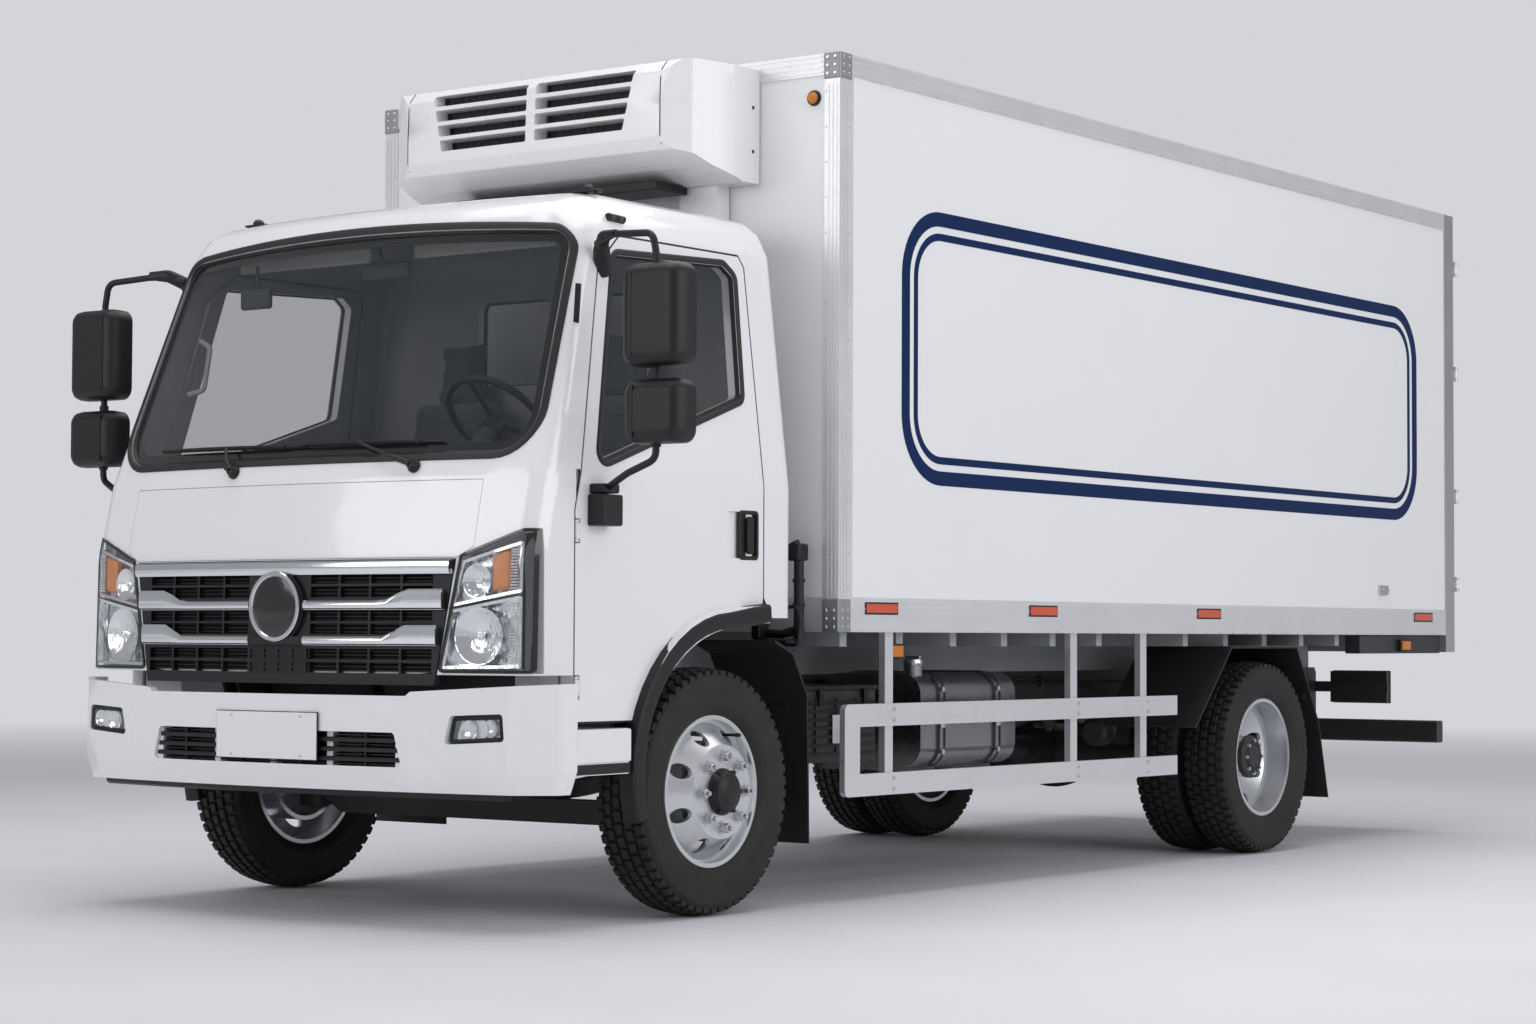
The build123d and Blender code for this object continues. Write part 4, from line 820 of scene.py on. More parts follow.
nut_circle = 0.140
wheel_nut, flange_bolt, cap_bolt = (0.034, 0.030), (0.017, 0.009), (0.010, 0.004)    # across flats, height
for side, word, _ in SIDES:
    out = Vector((side, 0, 0))
    disc_face = Vector((side * (front_tyre_x + 0.140), front_axle_y, axle_height))
    nuts = bmesh.new()
    bolt_ring(nuts, disc_face, out, nut_circle, 8, *wheel_nut)
    new_piece(f"front_wheel_nuts_{word}", nuts, nut_steel, f"{word}_front_wheel", bevel=0.0012)
    cap = bmesh.new()
    turned(cap, [(-0.02, 0), (-0.02, 0.092), (0.006, 0.092), (0.010, 0.088), (0.030, 0.080), (0.036, 0.074),
                 (0.038, 0.060), (0.046, 0.050), (0.049, 0.030), (0.049, 0)], disc_face, out, 48)
    bolt_ring(cap, disc_face + out * 0.006, out, 0.084, 6, *cap_bolt, radians(30))
    new_piece(f"hub_cap_{word}", cap, black_plastic, f"{word}_front_wheel")

    twin_face = Vector((side * 1.025, rear_axle_y, axle_height))
    flange_face = Vector((side * 1.165, rear_axle_y, axle_height))
    nuts = bmesh.new()
    bolt_ring(nuts, twin_face - out * 0.010, out, nut_circle, 8, *wheel_nut)
    bolt_ring(nuts, flange_face, out, 0.082, 8, *flange_bolt)
    new_piece(f"rear_wheel_nuts_{word}", nuts, nut_steel, f"{word}_rear_wheels", bevel=0.0012)
    hub = bmesh.new()
    turned(hub, [(-0.02, 0), (-0.02, 0.108), (0.004, 0.108), (0.008, 0.104), (0.010, 0.062), (0.022, 0.056),
                 (0.026, 0.044), (0.026, 0)], flange_face, out, 48)
    new_piece(f"axle_flange_{word}", hub, cast_black, f"{word}_rear_wheels")

    valves = bmesh.new()
    stem = disc_face + Vector((-side * 0.05, 0.236 * sin(0.39), 0.236 * cos(0.39)))
    drum(valves, stem + out * 0.02, out, 0.006, 0.07, segments=12)
    drum(valves, stem + out * 0.06, out, 0.008, 0.018, 0.0075, 12)
    new_piece(f"tyre_valve_{word}", valves, black_plastic, f"{word}_front_wheel")
print("wheels dressed")

# %% [markdown]
# ## Windscreen and windows
#
# Each pane is held by a black rubber moulding with a rounded lip, and its edge is printed with a dark
# ceramic band that hides the glue. Both follow the pane's outline, laid on the cab by rays: outside the
# opening they meet the pressing, inside it they meet the glass.

# %% Laying an outline on the cab
nose_plane, rear_plane = aft(-2.0), aft(1.2)
backward, forward = Vector((0, 1, 0)), Vector((0, -1, 0))
laid_reach = 1.45               # rays stop before the cab's far side
cab_skin_rays = surface("cab_shell", "cab_front_panel", "cab_door_left", "cab_door_right")
glass_rays = surface("cab_glass", "door_glass_left", "door_glass_right")


def laid(flat, rays, start, direction, lift):
    """Flat (across, height) points laid on a surface and raised from it; rays start from a plane.

    A point that misses takes the depth of the nearest hit on the line through the outline's middle."""
    endways = direction.x == 0
    centre = sum((Vector(point) for point in flat), Vector((0, 0))) / len(flat)
    points = []
    for place in map(Vector, flat):
        for step in range(40):
            share = 0.002 * (step // 2 + 1) * (-1) ** step if step else 0
            across, height = place + (centre - place) * share
            origin = Vector((across, start, height)) if endways else Vector((start, across, height))
            found, normal = rays.ray_cast(origin, direction, laid_reach)[:2]
            if found is not None:
                break
        if normal.dot(direction) > 0:
            normal = -normal
        point = Vector((place.x, found.y, place.y)) if endways else Vector((found.x, place.x, place.y))
        points.append(point + normal * lift)
    return points


def moulding(shape, outline_at, start, direction, lip, reach):
    """A rubber moulding round an opening: outline_at gives the outline for any growth."""
    on_skin = ((lip, -0.002), (lip, 0.003), (lip * 0.75, 0.0075), (lip * 0.30, 0.0080), (0.0015, 0.004))
    on_pane = ((-reach, 0.006), (-reach - 0.004, 0.0002), (-reach + 0.004, -0.002))
    loft(shape, [laid(outline_at(grow), rays, start, direction, lift)
                 for rays, rows in ((cab_skin_rays, on_skin), (glass_rays, on_pane))
                 for grow, lift in rows], ends="join")


print("rays ready for the cab's skin and glass")

# %% Outlines of the panes, across and height in metres
screen_corners = ((-1.030, 2.625), (-1.105, 1.770), (1.105, 1.770), (1.030, 2.625))
screen_radii = (0.095, 0.150, 0.150, 0.095)
screen_rise = 0.040             # the top edge is arched by this much
door_corners = tuple((aft(y), z) for y, z in (
    (-0.690, 1.735), (0.238, 2.040), (0.262, 2.530), (0.200, 2.572), (-0.488, 2.545)))
rear_pane = (0.410, 0.370)
rear_pane_centres = ((-0.275, 2.355), (0.275, 2.355))


def screen_outline(grow):
    """The windscreen's outline with its arched top edge."""
    half, high, low = screen_corners[3][0], screen_corners[0][1], screen_corners[1][1]
    return [(x, z + screen_rise * max(0, 1 - (x / half) ** 2) * max(0, (z - low) / (high - low)) ** 6)
            for x, z in outline(screen_corners, screen_radii, grow, 0.06, 8)]


def door_outline(grow):
    return outline(door_corners, 0.030, grow, 0.06)


def rear_outline(centre):
    """One of the two panes behind the seats."""
    corners = oblong(*centre, rear_pane[0] / 2, rear_pane[1] / 2)
    return lambda grow: outline(corners, 0.040, grow, 0.08, 6)


gasket = bmesh.new()
moulding(gasket, screen_outline, nose_plane, backward, 0.026, 0.006)
for centre in rear_pane_centres:
    moulding(gasket, rear_outline(centre), rear_plane, forward, 0.018, 0.004)
new_piece("window_rubber", gasket, seal_rubber, "cab")
band = bmesh.new()
loft(band, [laid(screen_outline(grow), glass_rays, nose_plane, backward, lift)
            for grow, lift in band_rows(-0.006, -0.042, 0.0008)], ends="join")
new_piece("windscreen_print", band, gloss_black, "cab", curved=False)
for side, word, door in SIDES:
    seal = bmesh.new()
    moulding(seal, door_outline, side * 2.0, Vector((-side, 0, 0)), 0.026, 0.003)
    new_piece(f"door_window_rubber_{word}", seal, seal_rubber, door)
print("windows framed")

# %% [markdown]
# ## Grille
#
# The grille is a black moulding with three bright bars. The top one is level from lamp to lamp; the other
# two are wings that thicken towards their ends. Each bright bar is a pressed shell over the black one, so
# it is lofted from short cross sections that follow the nose. A plain black disc with a bright ring sits
# on the centre line, and a fine slatted screen closes the slots behind.

# %% Bright bars
grille_rays, shell_rays = surface("grille"), surface("cab_shell")
grille_low_level, grille_top_level = 0.905, 1.372
grille_low_half, grille_top_half = 0.768, 0.851
badge_centre = Vector((0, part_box("grille")[0].y, 1.198))
badge_radius = 0.142


def grille_half(level):
    """Half width of the grille at a height."""
    share = (level - grille_low_level) / (grille_top_level - grille_low_level)
    return grille_low_half + (grille_top_half - grille_low_half) * share


def grille_front(level, x=0.0):
    """Y of the grille's face."""
    return hit_from(grille_rays, (x, nose_plane, level), backward).y


def bright_bar(shape, first, last, span, proud=0.003):
    """A shell over a bar from one X to another; span gives its low and high edges at an X."""
    def section(x):
        low, high = span(x)
        front = grille_front((low + high) / 2, x) - proud
        fall = min(0.010, (high - low) * 0.3)
        return ((front + 0.026, low - 0.0015), (front + 0.006, low - 0.0015), (front, low + fall),
                (front - 0.001, (low + high) / 2), (front, high - fall * 0.7), (front + 0.006, high + 0.0015),
                (front + 0.026, high + 0.0015))

    steps = max(8, round(abs(last - first) / 0.05))
    swept(shape, [first + (last - first) * step / steps for step in range(steps + 1)], section)


def wing(level):
    """Low and high edges of a winged bar whose thin part is centred on a level."""
    def span(x):
        rise = min(1.0, max(0.0, (abs(x) - 0.545) / 0.095))
        return level - 0.017, level + 0.014 + 0.043 * rise
    return span


bars = bmesh.new()
top_half = grille_half(1.352) - 0.006
bright_bar(bars, -top_half, top_half, lambda x: (1.320, 1.369))
for level in (1.204, 1.070):
    end = grille_half(level) - 0.010
    for side in (LEFT, RIGHT):
        bright_bar(bars, side * (badge_radius + 0.004), side * end, wing(level))
new_piece("grille_bright_bars", bars, chrome, "cab")
print(f"bright bars across {2 * top_half:.3f} m")

# %% Badge ring and the screen behind the slots
ring = bmesh.new()
turned(ring, [(-0.004, 0.134), (0.006, 0.134), (0.0085, 0.1315), (0.0085, 0.1195), (0.004, 0.1155),
              (-0.004, 0.1155)], badge_centre, forward, 72)
new_piece("badge_ring", ring, chrome, "cab")
disc = bmesh.new()
turned(disc, [(-0.003, 0), (-0.003, 0.1155), (0.0005, 0.1155), (0.0045, 0.100), (0.0065, 0.050), (0.007, 0)],
       badge_centre, forward, 72)
new_piece("badge_blank", disc, gloss_black, "cab")
middle_slats = bmesh.new()
for low, high in ((0.948, 0.988), (0.998, 1.038)):
    front = grille_front((low + high) / 2)
    for level in (low, (low + high) / 2 - 0.002, high - 0.004):
        block(middle_slats, (-0.160, front - 0.006, level), (0.160, front + 0.004, level + 0.004))
    for x in spread(0.150, 4):
        block(middle_slats, (x - 0.004, front - 0.005, low), (x + 0.004, front + 0.003, high))
new_piece("grille_middle_slats", middle_slats, black_plastic, "cab", curved=False)

screen_back = bmesh.new()
slat_pitch = 0.0145
level = 0.925
while level < 1.340:
    def slat(x):
        wall = hit_from(shell_rays, (x, nose_plane, level), backward, Vector((x, aft(-1.12), level))).y
        return [(wall - dy, level + dz) for dy, dz in (
            (0.0005, -0.0005), (0.010, 0.0012), (0.010, 0.0042), (0.0005, 0.0140))]
    swept(screen_back, spread(grille_half(level) - 0.02, 24), slat)
    level += slat_pitch
new_piece("grille_slats", screen_back, black_plastic, "cab", curved=False)
print("grille built")

# %% [markdown]
# ## Headlamps
#
# The CAD lamp is the clear cover. Behind it sit two bright trays, one above the other, each a dish with a
# wide rim. The lower tray holds the main bowl, the upper one a small bowl and a ribbed amber block, and
# both end in a ladder of fine ribs. Everything is set out on the cover's own surface, so the optics lean
# back with the nose. A black bezel, broad on its outer side, frames the cover.

# %% Optics set out on the lamp's cover
lamp_silver = Finish("lamp_silver", (0.86, 0.87, 0.89), 0.16, Metallic=1.0)
lamp_silver.mottle(9, 0.06, 0.05)
lamp_silver.bump(lamp_silver.cells(60, (1, 1, 0.3)), 0.004, 0.5)
cover_corners = ((0.783, 0.952), (1.180, 0.952), (1.180, 1.484), (1.130, 1.484), (0.873, 1.388))
upper_tray = ((0.838, 1.196), (1.139, 1.250), (1.139, 1.440), (0.884, 1.366))
lower_tray = ((0.801, 0.967), (1.139, 0.972), (1.139, 1.238), (0.834, 1.184))
turn_lamp = ((1.010, 1.252), (1.086, 1.266), (1.086, 1.408), (1.010, 1.386))
outer_strip = ((1.142, 0.966), (1.172, 0.966), (1.172, 1.472), (1.142, 1.464))
divider = ((0.829, 1.186), (1.145, 1.241), (1.145, 1.247), (0.831, 1.193))
lamp_bowls = (                  # X and height of the middle, radius, depth, radius of the bulb
    (0.957, 1.088, 0.103, 0.036, 0.016), (0.945, 1.290, 0.060, 0.030, 0.011))
lamp_depth = 0.048
lamp_rays = surface("headlamps")


def lamp_point(side, x, z, behind):
    """A place behind the cover and the way the cover faces there."""
    point, normal = lamp_rays.ray_cast(Vector((side * x, nose_plane, z)), backward)[:2]
    normal = -normal if normal.y > 0 else normal
    return point - normal * behind, normal


def in_lamp(shape, side, corners, radius, rows):
    """A form behind the cover, never behind the lamp's back: each row gives its growth and its depth."""
    rings = [[lamp_point(side, x, z, behind)[0] for x, z in outline(corners, radius, grow, 0.04, 4)]
             for grow, behind in rows]
    loft(shape, [[Vector((place.x, min(place.y, aft(-1.010)), place.z)) for place in ring] for ring in rings])


def on_lamp(shape, side, corners, radius, rows, pitch=0.04, steps=2, ends="fill"):
    """A form on the cover: each row gives its growth and how far it stands off."""
    loft(shape, [laid([(side * x, z) for x, z in outline(corners, radius, grow, pitch, steps)],
                      lamp_rays, nose_plane, backward, lift) for grow, lift in rows], ends)


def bulb(shape, side, x, z, radius, behind):
    """A glass dome on a short neck."""
    place, axis = lamp_point(side, x, z, behind)
    dome = [(radius * cos(radians(15 * step)), radius * sin(radians(15 * step))) for step in range(7)]
    turned(shape, dome + [(-radius, radius * 0.8), (-radius, 0)], place, axis, 24)


for side, word, _ in SIDES:
    tray = bmesh.new()
    for corners in (upper_tray, lower_tray):
        in_lamp(tray, side, corners, 0.010, (
            (-0.017, lamp_depth), (-0.011, 0.006), (0.0, 0.005), (0.0, lamp_depth + 0.002)))
    optics = bmesh.new()
    for x, z, radius, depth, _ in lamp_bowls:
        dish(optics, *lamp_point(side, x, z, 0.010), radius, depth, 0.003, 0.004, 5, 20)
    for x, z, *_, radius in lamp_bowls:
        bulb(optics, side, x, z, radius, 0.022)
    new_piece(f"headlamp_bowls_{word}", optics, lamp_silver, "cab", curved=False)
    for low, high in ((0.985, 1.222), (1.262, 1.422)):
        for rib in range(int((high - low) / 0.011)):
            place = lamp_point(side, 1.108, low + 0.011 * rib, 0.012)[0]
            block(tray, place - Vector((0.017, 0.006, 0)), place + Vector((0.017, 0.003, 0.0065)))
    new_piece(f"headlamp_trays_{word}", tray, lamp_silver, "cab")
    amber = bmesh.new()
    in_lamp(amber, side, turn_lamp, 0.012, ((-0.012, 0.008), (-0.004, 0.011), (0.0, 0.016), (0.0, 0.032)))
    new_piece(f"turn_lamp_{word}", amber, lens_amber, "cab")
    bezel = bmesh.new()
    on_lamp(bezel, side, cover_corners, 0.018,
            ((-0.001, -0.004), (-0.001, 0.0018), (-0.011, 0.0018), (-0.013, -0.004)), 0.03, 4, "join")
    on_lamp(bezel, side, outer_strip, 0.004, ((0.0, -0.004), (0.0, 0.0014)))
    on_lamp(bezel, side, divider, 0.002, ((0.0, -0.004), (0.0, 0.0012)))
    new_piece(f"headlamp_bezel_{word}", bezel, gloss_black, "cab")
print("headlamps fitted")

# %% [markdown]
# ## Bumper
#
# The lower opening gets black slats with a dark sheet behind them, each fog lamp a black frame round a
# bright tray with two bowls, and a black lip closes the bumper's underside. The number plate stays
# blank, held by four screws.

# %% Bumper fittings
bumper_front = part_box("front_bumper")[0].y
bumper_arc = 6.2
fog_corners = ((0.866, 0.698), (1.098, 0.711), (1.091, 0.797), (0.884, 0.788))
fog_bowls = ((0.950, 0.744, 0.036), (1.043, 0.751, 0.031))      # X and height of the middle, radius


def bumper_face(x):
    """Y of the bumper's front at an X."""
    return bumper_front + bumper_arc - sqrt(bumper_arc**2 - x**2)


def along_bumper(shape, half, steps, section):
    """A bar that follows the bumper: its section is given as depths behind the face and heights."""
    swept(shape, spread(half, steps), lambda x: [(bumper_face(x) + depth, z) for depth, z in section])


def fog_face(x, depth):
    """Y at a depth behind the fog lamp's front, which leans back towards the wheel."""
    return bumper_face(x) + depth + 0.012 * (1.09 - x) / 0.22


def in_bumper(shape, side, rows, ends="fill"):
    """A form in the fog lamp's opening: each row gives its growth and its depth."""
    loft(shape, [[Vector((side * x, fog_face(x, depth), z))
                  for x, z in outline(fog_corners, 0.016, grow, 0.04)] for grow, depth in rows], ends)


insert = bmesh.new()
for row in range(7):
    z = 0.610 + 0.018 * row
    thick, reach = ((0.003, 0.030), (0.0085, 0.010))[row % 2]
    along_bumper(insert, 0.656 - 0.035 * (z - 0.602) / 0.128, 16, (
        (reach, z - thick), (reach, z + thick * 0.5), (reach + 0.004, z + thick), (0.072, z + thick),
        (0.072, z - thick)))
for x in spread(0.48, 3):
    block(insert, (x - 0.004, bumper_face(x) + 0.018, 0.604), (x + 0.004, bumper_face(x) + 0.070, 0.728))
along_bumper(insert, 0.655, 16, ((0.069, 0.598), (0.069, 0.735), (0.072, 0.735), (0.072, 0.598)))
new_piece("lower_grille_slats", insert, black_plastic, "chassis", curved=False)

lip = bmesh.new()
along_bumper(lip, 1.06, 32, ((0.052, 0.516), (0.058, 0.494), (0.072, 0.486), (0.110, 0.486), (0.110, 0.516)))
new_piece("bumper_lip", lip, black_plastic, "chassis")

for side, word, _ in SIDES:
    fog_frame = bmesh.new()
    in_bumper(fog_frame, side, ((0.006, 0.030), (0.006, 0.006), (0.000, 0.003), (-0.010, 0.008),
                                (-0.013, 0.030)), ends="join")
    new_piece(f"fog_lamp_frame_{word}", fog_frame, black_plastic, "chassis")
    fog_tray = bmesh.new()
    in_bumper(fog_tray, side, ((-0.012, 0.029), (-0.012, 0.024)))
    for x, z, radius in fog_bowls:
        rim = Vector((side * x, fog_face(x, 0.010), z))
        dish(fog_tray, rim, forward, radius, 0.013, 0.002, 0.002, 6, 32)
    new_piece(f"fog_lamp_tray_{word}", fog_tray, lamp_silver, "chassis")
    fog_cover = bmesh.new()
    in_bumper(fog_cover, side, ((-0.011, 0.0085), (-0.011, 0.0065)))
    new_piece(f"fog_lamp_cover_{word}", fog_cover, lens_clear, "chassis", curved=False)


def on_bumper(shape, x, proud, sunk, z):
    """A flat plate on the bumper's middle between two X, two distances from its face and two heights."""
    block(shape, (x[0], bumper_front - proud, z[0]), (x[1], bumper_front - sunk, z[1]))


backing, plate, screws = bmesh.new(), bmesh.new(), bmesh.new()
on_bumper(backing, (-0.270, 0.270), 0.0040, 0.0005, (0.617, 0.800))
new_piece("plate_backing", backing, black_plastic, "chassis", curved=False)
on_bumper(plate, (-0.267, 0.267), 0.007, 0.003, (0.620, 0.797))
new_piece("number_plate", plate, plate_white, "chassis", bevel=0.0015)
for x in (-0.185, 0.185):
    for z in (0.634, 0.783):
        drum(screws, Vector((x, bumper_front - 0.008, z)), forward, 0.0065, 0.003, 0.005, 16)
for x in (-0.15, 0.15):
    on_bumper(screws, (x - 0.02, x + 0.02), 0.003, -0.012, (0.70, 0.80))
new_piece("plate_screws", screws, nut_steel, "chassis")
print("bumper fitted")

# %% [markdown]
# ## Wipers, marker lamps and vents
#
# Tubes and bars that follow a path are one helper: a round or flat section is carried along the path and
# the corners are rounded first. A wiper is a spindle cap, an arm that narrows and a long thin blade that
# lies on the glass, so the blade's line is laid on the glass by rays too.

# %% Sections carried along a path
def softened(points, radius, steps=5):
    """A path whose corners are replaced by arcs."""
    path = [Vector(points[0])]
    for before, here, after in zip(points, points[1:], points[2:]):
        here = Vector(here)
        back, on = Vector(before) - here, Vector(after) - here
        longest = 0.45 * min(back.length, on.length)
        reach = min(radius / tan(back.normalized().angle(on.normalized()) / 2), longest)
        start, end = here + back.normalized() * reach, here + on.normalized() * reach
        path += [start.lerp(here, share).lerp(here.lerp(end, share), share)
                 for share in (step / steps for step in range(steps + 1))]
    return path + [Vector(points[-1])]


def pipe(shape, path, radius, sides=14, flat=1.0):
    """A tube along a path; its radius may change with the share of the path, and flat squashes it."""
    rings = []
    across = None
    for i, point in enumerate(path):
        along = (path[min(i + 1, len(path) - 1)] - path[max(i - 1, 0)]).normalized()
        if across is None:
            across = along.orthogonal().normalized()
        across = (across - along * across.dot(along)).normalized()
        other = along.cross(across)
        size = radius(i / (len(path) - 1)) if callable(radius) else radius
        angles = [2 * pi * k / sides for k in range(sides)]
        rings.append([point + size * (cos(angle) * across + flat * sin(angle) * other) for angle in angles])
    loft(shape, rings)


def bent_pipe(shape, side, points, bend, radius, sides=14, flat=1.0, steps=5):
    """A pipe through points given as distance from the middle, distance behind the axle and height."""
    path = softened([Vector((side * x, aft(y), z)) for x, y, z in points], bend, steps)
    pipe(shape, path, radius, sides, flat)


print("paths and pipes ready")

# %% Wipers
wiper_cap = (
    (0.0, 0.026), (0.012, 0.026), (0.018, 0.020), (0.030, 0.017), (0.034, 0.008), (0.034, 0), (0.0, 0))
washer_jet = ((0.0, 0.010), (0.006, 0.010), (0.008, 0.006), (0.008, 0), (0.0, 0))
cap_lean = (0, -0.94, 0.34)
wiper_lines = (                 # X of the pivot, then X and height of the blade's two ends
    (0.605, (0.700, 1.812), (-0.090, 1.818)), (-0.330, (0.030, 1.812), (-0.840, 1.822)))

wipers, blades = bmesh.new(), bmesh.new()
for pivot, first, last in wiper_lines:
    def on_glass(share, lift):
        return laid([between(first, last, share)], glass_rays, aft(-1.6), backward, lift)[0]

    seat = hit_from(cab_skin_rays, (pivot, nose_plane, 1.722), backward)
    turned(wipers, wiper_cap, seat, cap_lean, 28)
    turned(wipers, washer_jet, seat + Vector((-0.052, 0.006, 0.020)), cap_lean, 20)
    start, hold = seat + Vector((0, -0.030, 0.012)), on_glass(0.5, 0.034)
    arm = softened([start, start.lerp(hold, 0.35) + Vector((0, -0.012, 0)), hold], 0.4, 6)
    pipe(wipers, arm, lambda share: 0.0125 - 0.006 * share, 12, 0.75)
    pipe(blades, [on_glass(k / 16, 0.013) for k in range(17)], 0.0045, 8, 1.9)
    pipe(wipers, [on_glass(k / 16, 0.020 + 0.010 * sin(pi * k / 16)) for k in range(2, 15)], 0.0055, 8, 0.7)
    for share in (0.14, 0.36, 0.64, 0.86):
        foot = on_glass(share, 0.016)
        block(wipers, foot - Vector((0.016, 0.007, 0.006)), foot + Vector((0.016, 0.007, 0.008)), 0.003, 2)
new_piece("wiper_arms", wipers, black_plastic, "cab")
new_piece("wiper_blades", blades, seal_rubber, "cab")
print(f"{len(wiper_lines)} wipers on the glass")

# %% Marker lamps, pillar vents and roof lamps
lamp_foot = ((-0.004, 0.011), (0.010, 0.011), (0.014, 0.007), (0.014, 0), (-0.004, 0))
lamp_dome = ((0.014, 0.025), (0.026, 0.023), (0.036, 0.014), (0.039, 0), (0.014, 0))
pod_lens = ((0.012, 0.013), (0.020, 0.011), (0.024, 0.006), (0.0245, 0), (0.012, 0))
lamps, covers = bmesh.new(), bmesh.new()
for side in (LEFT, RIGHT):
    top = hit_from(shell_rays, (side * 0.90, aft(-0.430), 4.0), (0, 0, -1))
    for dx in (-0.040, 0.040):
        turned(lamps, lamp_foot, top + Vector((dx, 0, 0)), (0, 0, 1), 20)
    block(lamps, top + Vector((-0.060, -0.024, 0.006)), top + Vector((0.060, 0.024, 0.016)), 0.005, 3)
    turned(lamps, lamp_dome, top, (0, 0, 1), 28)
    point = hit_from(shell_rays, (side * 3, aft(-0.450), 2.690), (-side, 0, 0))
    along = Vector((0, 1, -0.04))
    outward = Vector((side, 0, 0.45)).normalized()
    path = [point + along * step + outward * 0.006 for step in (-0.048, -0.020, 0.020, 0.048)]
    pipe(lamps, path, 0.017, 16, 0.8)
    for step in (-0.024, 0.024):
        turned(covers, pod_lens, point + along * step, outward, 20)
    starts = [(side * 3, aft(-0.752 + 0.040 * share), 2.264 + 0.150 * share) for share in (0, 0.33, 0.67, 1)]
    vent = [hit_from(cab_skin_rays, start, (-side, 0, 0)) + Vector((side * 0.001, 0, 0)) for start in starts]
    pipe(lamps, vent, 0.012, 12, 0.5)
new_piece("roof_lamp_bodies", lamps, black_plastic, "cab")
new_piece("roof_lamp_lenses", covers, lens_clear, "cab")
print("wipers and small lamps fitted")

# %% [markdown]
# ## Doors, mirrors and arches
#
# A dark rubber seal closes the gap round each door, which draws the door's outline on the white cab. The
# arch carries a black plastic flare with a rolled edge. Each mirror is a tube bent round three corners,
# held by a moulded bracket above and a capped box below, with two soft-edged heads clamped to it. The
# handle is a framed recess with an upright paddle and a lock.

# %% Door seals, arch flares and handles
arch_centre, arch_inner, arch_outer = Vector((0.100, 0.560)), 0.563, 0.633
door_edge = [Vector(place) for place in (
    (-0.469, 0.765), (-0.843, 0.765), (-0.843, 1.560), (-0.600, 2.500), (-0.455, 2.628), (0.310, 2.628),
    (0.345, 2.580), (0.345, 1.170))]
flare_sections = [
    tuple(arch_centre + Vector((cos(radians(round_arch)), sin(radians(round_arch)))) * reach
          for reach in (arch_inner, arch_outer))
    for round_arch in range(196, 84, -8)]
flare_sections += [(Vector((0.230, 1.133)), Vector((0.230, 1.214))),
                   (Vector((0.338, 1.148)), Vector((0.338, 1.222)))]
handle_frame = [(aft(y), z) for y, z in ((0.176, 1.398), (0.300, 1.398), (0.300, 1.587), (0.176, 1.587))]
handle_paddle = [(aft(y), z) for y, z in ((0.222, 1.418), (0.268, 1.418), (0.268, 1.567), (0.222, 1.567))]
lock_profile = ((-0.004, 0.011), (0.003, 0.011), (0.0045, 0.009), (0.0045, 0), (-0.004, 0))


def gap_line(side):
    """The gap round a door, laid on the cab's side and set a little inwards."""
    line = []
    for start, end in zip(door_edge, door_edge[1:]):
        run = end - start
        inward = Vector((run.y, -run.x)).normalized()
        margin = 0.006 / run.length
        parts = max(1, round(run.length / 0.08))
        for k in range(parts + 1):
            place = start + run * min(max(k / parts, margin), 1 - margin)
            probe = place + inward * 0.020
            skin = hit_from(cab_skin_rays, (side * 2, aft(probe.x), probe.y), (-side, 0, 0),
                            Vector((side * 1.186, 0, 0))).x
            place += inward * 0.0040
            line.append(Vector((skin - side * 0.0052, aft(place.x), place.y)))
    return line


for side, word, door in SIDES:
    seal = bmesh.new()
    pipe(seal, gap_line(side), 0.0043, 8)
    new_piece(f"door_seal_{word}", seal, seal_rubber, "cab")

    flare = bmesh.new()
    rings = []
    for inner, outer in flare_sections:
        radial = (outer - inner).normalized()
        rings.append([Vector((side * x, aft(place.x), place.y)) for place, x in (
            (inner, 1.150), (inner, 1.2240), (inner + radial * 0.006, 1.2285),
            (inner + radial * 0.020, 1.2300), (outer - radial * 0.014, 1.2275),
            (outer - radial * 0.004, 1.2200), (outer, 1.1850), (outer - radial * 0.010, 1.1500))])
    loft(flare, rings)
    new_piece(f"arch_flare_{word}", flare, black_plastic, door)

    handle = bmesh.new()
    facing_side(handle, side, handle_frame, 0.016, (
        (0.004, 1.180), (0.004, 1.1880), (0.000, 1.1905), (-0.008, 1.1905), (-0.011, 1.1880),
        (-0.013, 1.171)))
    facing_side(handle, side, handle_paddle, 0.014, (
        (0.0, 1.172), (0.0, 1.190), (-0.003, 1.194), (-0.010, 1.196)))
    turned(handle, lock_profile, Vector((side * 1.174, aft(0.200), 1.440)), (side, 0, 0), 20)
    new_piece(f"door_handle_{word}", handle, black_plastic, door)
print(f"{len(flare_sections)} sections in each arch flare")

